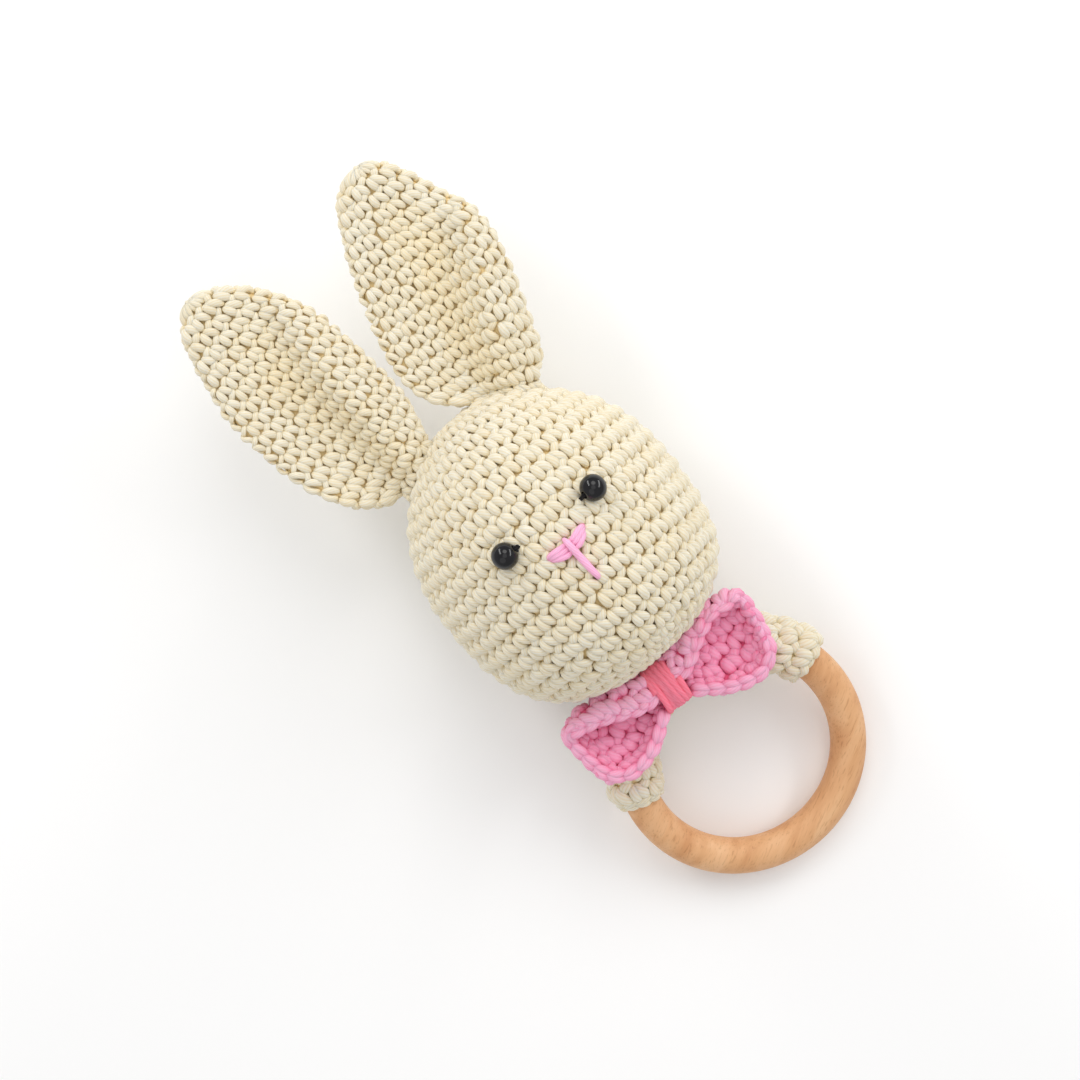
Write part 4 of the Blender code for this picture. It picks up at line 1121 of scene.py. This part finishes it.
# ---------------------------------------------------------------- neck seam
def build_neck(rng):
    low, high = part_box("neck_seam")
    centre = (np.array((low + high) / 2) - SHIFT) * 1000
    size = (np.array(high) - np.array(low)) * 500
    count = 14
    yarn = Yarn(10)
    a = TAU * np.arange(count) / count
    t = np.linspace(0, 1, 9)
    angle = a[:, None] + (t[None] - 0.5) * 0.30
    x = centre[0] + (size[0] - 0.7) * np.cos(angle)
    z = centre[2] + (size[2] - 0.7) * np.sin(angle)
    y = centre[1] + 1.6 * (t[None] - 0.5) * np.ones_like(angle)
    out = unit(np.stack([np.cos(angle), np.zeros_like(angle), np.sin(angle)], -1))
    points = np.stack([x, y, z], -1) + out * (0.5 * np.sin(np.pi * t))[None, :, None]
    swell = np.sin(np.pi * np.clip(t * 0.9 + 0.05, 0, 1)) ** 0.4
    # painted shade at the stitch ends, where they dive into the fabric
    yarn.add(points, out, (0.8 * swell)[None], (0.7 * swell)[None], deep=(0.5 * (1 - np.sin(np.pi * t)))[None], rng=rng)
    loop = np.linspace(0, TAU, 64, endpoint=False)
    ring = np.stack([centre[0] + (size[0] - 0.9) * np.cos(loop), np.full(64, centre[1]), centre[2] + (size[2] - 0.9) * np.sin(loop)], -1)
    out = np.stack([np.cos(loop), np.zeros(64), np.sin(loop)], -1)
    # the round of yarn at the neck carries half painted shade all along
    yarn.add(ring[None], out[None], np.full((1, 64), 0.7), np.full((1, 64), 0.6), deep=np.full((1, 64), 0.5), rng=rng, closed=True)
    seam = yarn.make("neck_whip_seam", CREAM)
    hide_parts("neck_seam")
    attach(seam, "head")


# ---------------------------------------------------------------- hidden pieces
def finish_hidden():
    for name in ("capsule_cup", "capsule_lid"):
        node = frame["nodes"][name]
        node.data.materials.clear()
        node.data.materials.append(CAPSULE)
    for i in range(1, 6):
        node = frame["nodes"][f"pellet_{i}"]
        node.data.materials.clear()
        node.data.materials.append(PELLET)
    for name in ("stuffing_front", "stuffing_back"):
        node = frame["nodes"][name]
        node.data.materials.clear()
        node.data.materials.append(FILL)


# ---------------------------------------------------------------- stage
def build_stage():
    floor_mesh = bpy.data.meshes.new("floor")
    half = 3.0
    floor_mesh.from_pydata([(-half, -half, 0), (half, -half, 0), (half, half, 0), (-half, half, 0)], [], [(0, 1, 2, 3)])
    floor = bpy.data.objects.new("floor", floor_mesh)
    bpy.context.scene.collection.objects.link(floor)
    material, nodes, links, shader = new_material("pale_floor")
    shader.inputs["Base Color"].default_value = (0.96, 0.96, 0.96, 1.0)
    shader.inputs["Roughness"].default_value = 0.9
    shader.inputs["Specular IOR Level"].default_value = 0.1
    floor_mesh.materials.append(material)

    world = bpy.data.worlds.new("studio")
    bpy.context.scene.world = world
    world.use_nodes = True
    world.node_tree.nodes["Background"].inputs[0].default_value = (1.0, 1.0, 1.0, 1.0)
    world.node_tree.nodes["Background"].inputs[1].default_value = 0.56

    def area(name, place, aim, size, power, colour=(1.0, 1.0, 1.0)):
        data = bpy.data.lights.new(name, "AREA")
        data.shape = "DISK"
        data.size = size
        data.energy = power
        data.color = colour
        lamp = bpy.data.objects.new(name, data)
        bpy.context.scene.collection.objects.link(lamp)
        lamp.location = place
        lamp.rotation_euler = (Vector(aim) - Vector(place)).to_track_quat("-Z", "Y").to_euler()
        return lamp

    area("key", (0.42, 0.5, 0.85), (0, 0, 0.02), 0.6, 2.35, (1.0, 0.985, 0.96))
    area("fill", (-0.6, -0.3, 0.85), (0, 0, 0.02), 0.9, 1.0, (1.0, 0.99, 0.98))
    area("top", (0.05, 0.05, 1.3), (0, 0, 0), 0.8, 1.2)
    # two narrow strips, which the beads show as short bright strokes
    for name, first, last in (
        ("strip_a", (-0.27, 0.46, 0.845), (0.06, 0.98, 0.177)),
        ("strip_b", (0.52, -0.446, 0.73), (0.93, 0.31, 0.2)),
    ):
        first, last = Vector(first).normalized() * 0.9, Vector(last).normalized() * 0.9
        data = bpy.data.lights.new(name, "AREA")
        data.shape = "RECTANGLE"
        data.size, data.size_y = (last - first).length * 0.8, 0.13
        data.energy = 1.7
        lamp = bpy.data.objects.new(name, data)
        bpy.context.scene.collection.objects.link(lamp)
        middle = (first + last) / 2
        z_axis = middle.normalized()
        x_axis = (last - first).normalized()
        y_axis = z_axis.cross(x_axis).normalized()
        x_axis = y_axis.cross(z_axis)
        turn = Matrix((x_axis, y_axis, z_axis)).transposed().to_4x4()
        lamp.matrix_world = Matrix.Translation(middle) @ turn

    camera_data = bpy.data.cameras.new("camera")
    camera_data.sensor_width = 36.0
    camera_data.lens = 36.0 * 2405.0 / 1080.0
    camera = bpy.data.objects.new("camera", camera_data)
    bpy.context.scene.collection.objects.link(camera)
    spot = to_world([-5.9, 78.0, 0.0])
    camera.location = (spot[0], spot[1], 0.662)
    camera.rotation_euler = (0.0, 0.0, math.radians(-39.5))
    camera_data.clip_start, camera_data.clip_end = 0.01, 20.0
    bpy.context.scene.camera = camera
    bpy.context.scene.view_settings.view_transform = "Standard"


build_head(np.random.default_rng(11))
build_ear("ear_left", np.random.default_rng(21))
build_ear("ear_right", np.random.default_rng(22))
build_ring()
build_sleeve(np.random.default_rng(31))
build_bow(np.random.default_rng(41))
build_face(np.random.default_rng(51))
build_neck(np.random.default_rng(61))
finish_hidden()
build_stage()
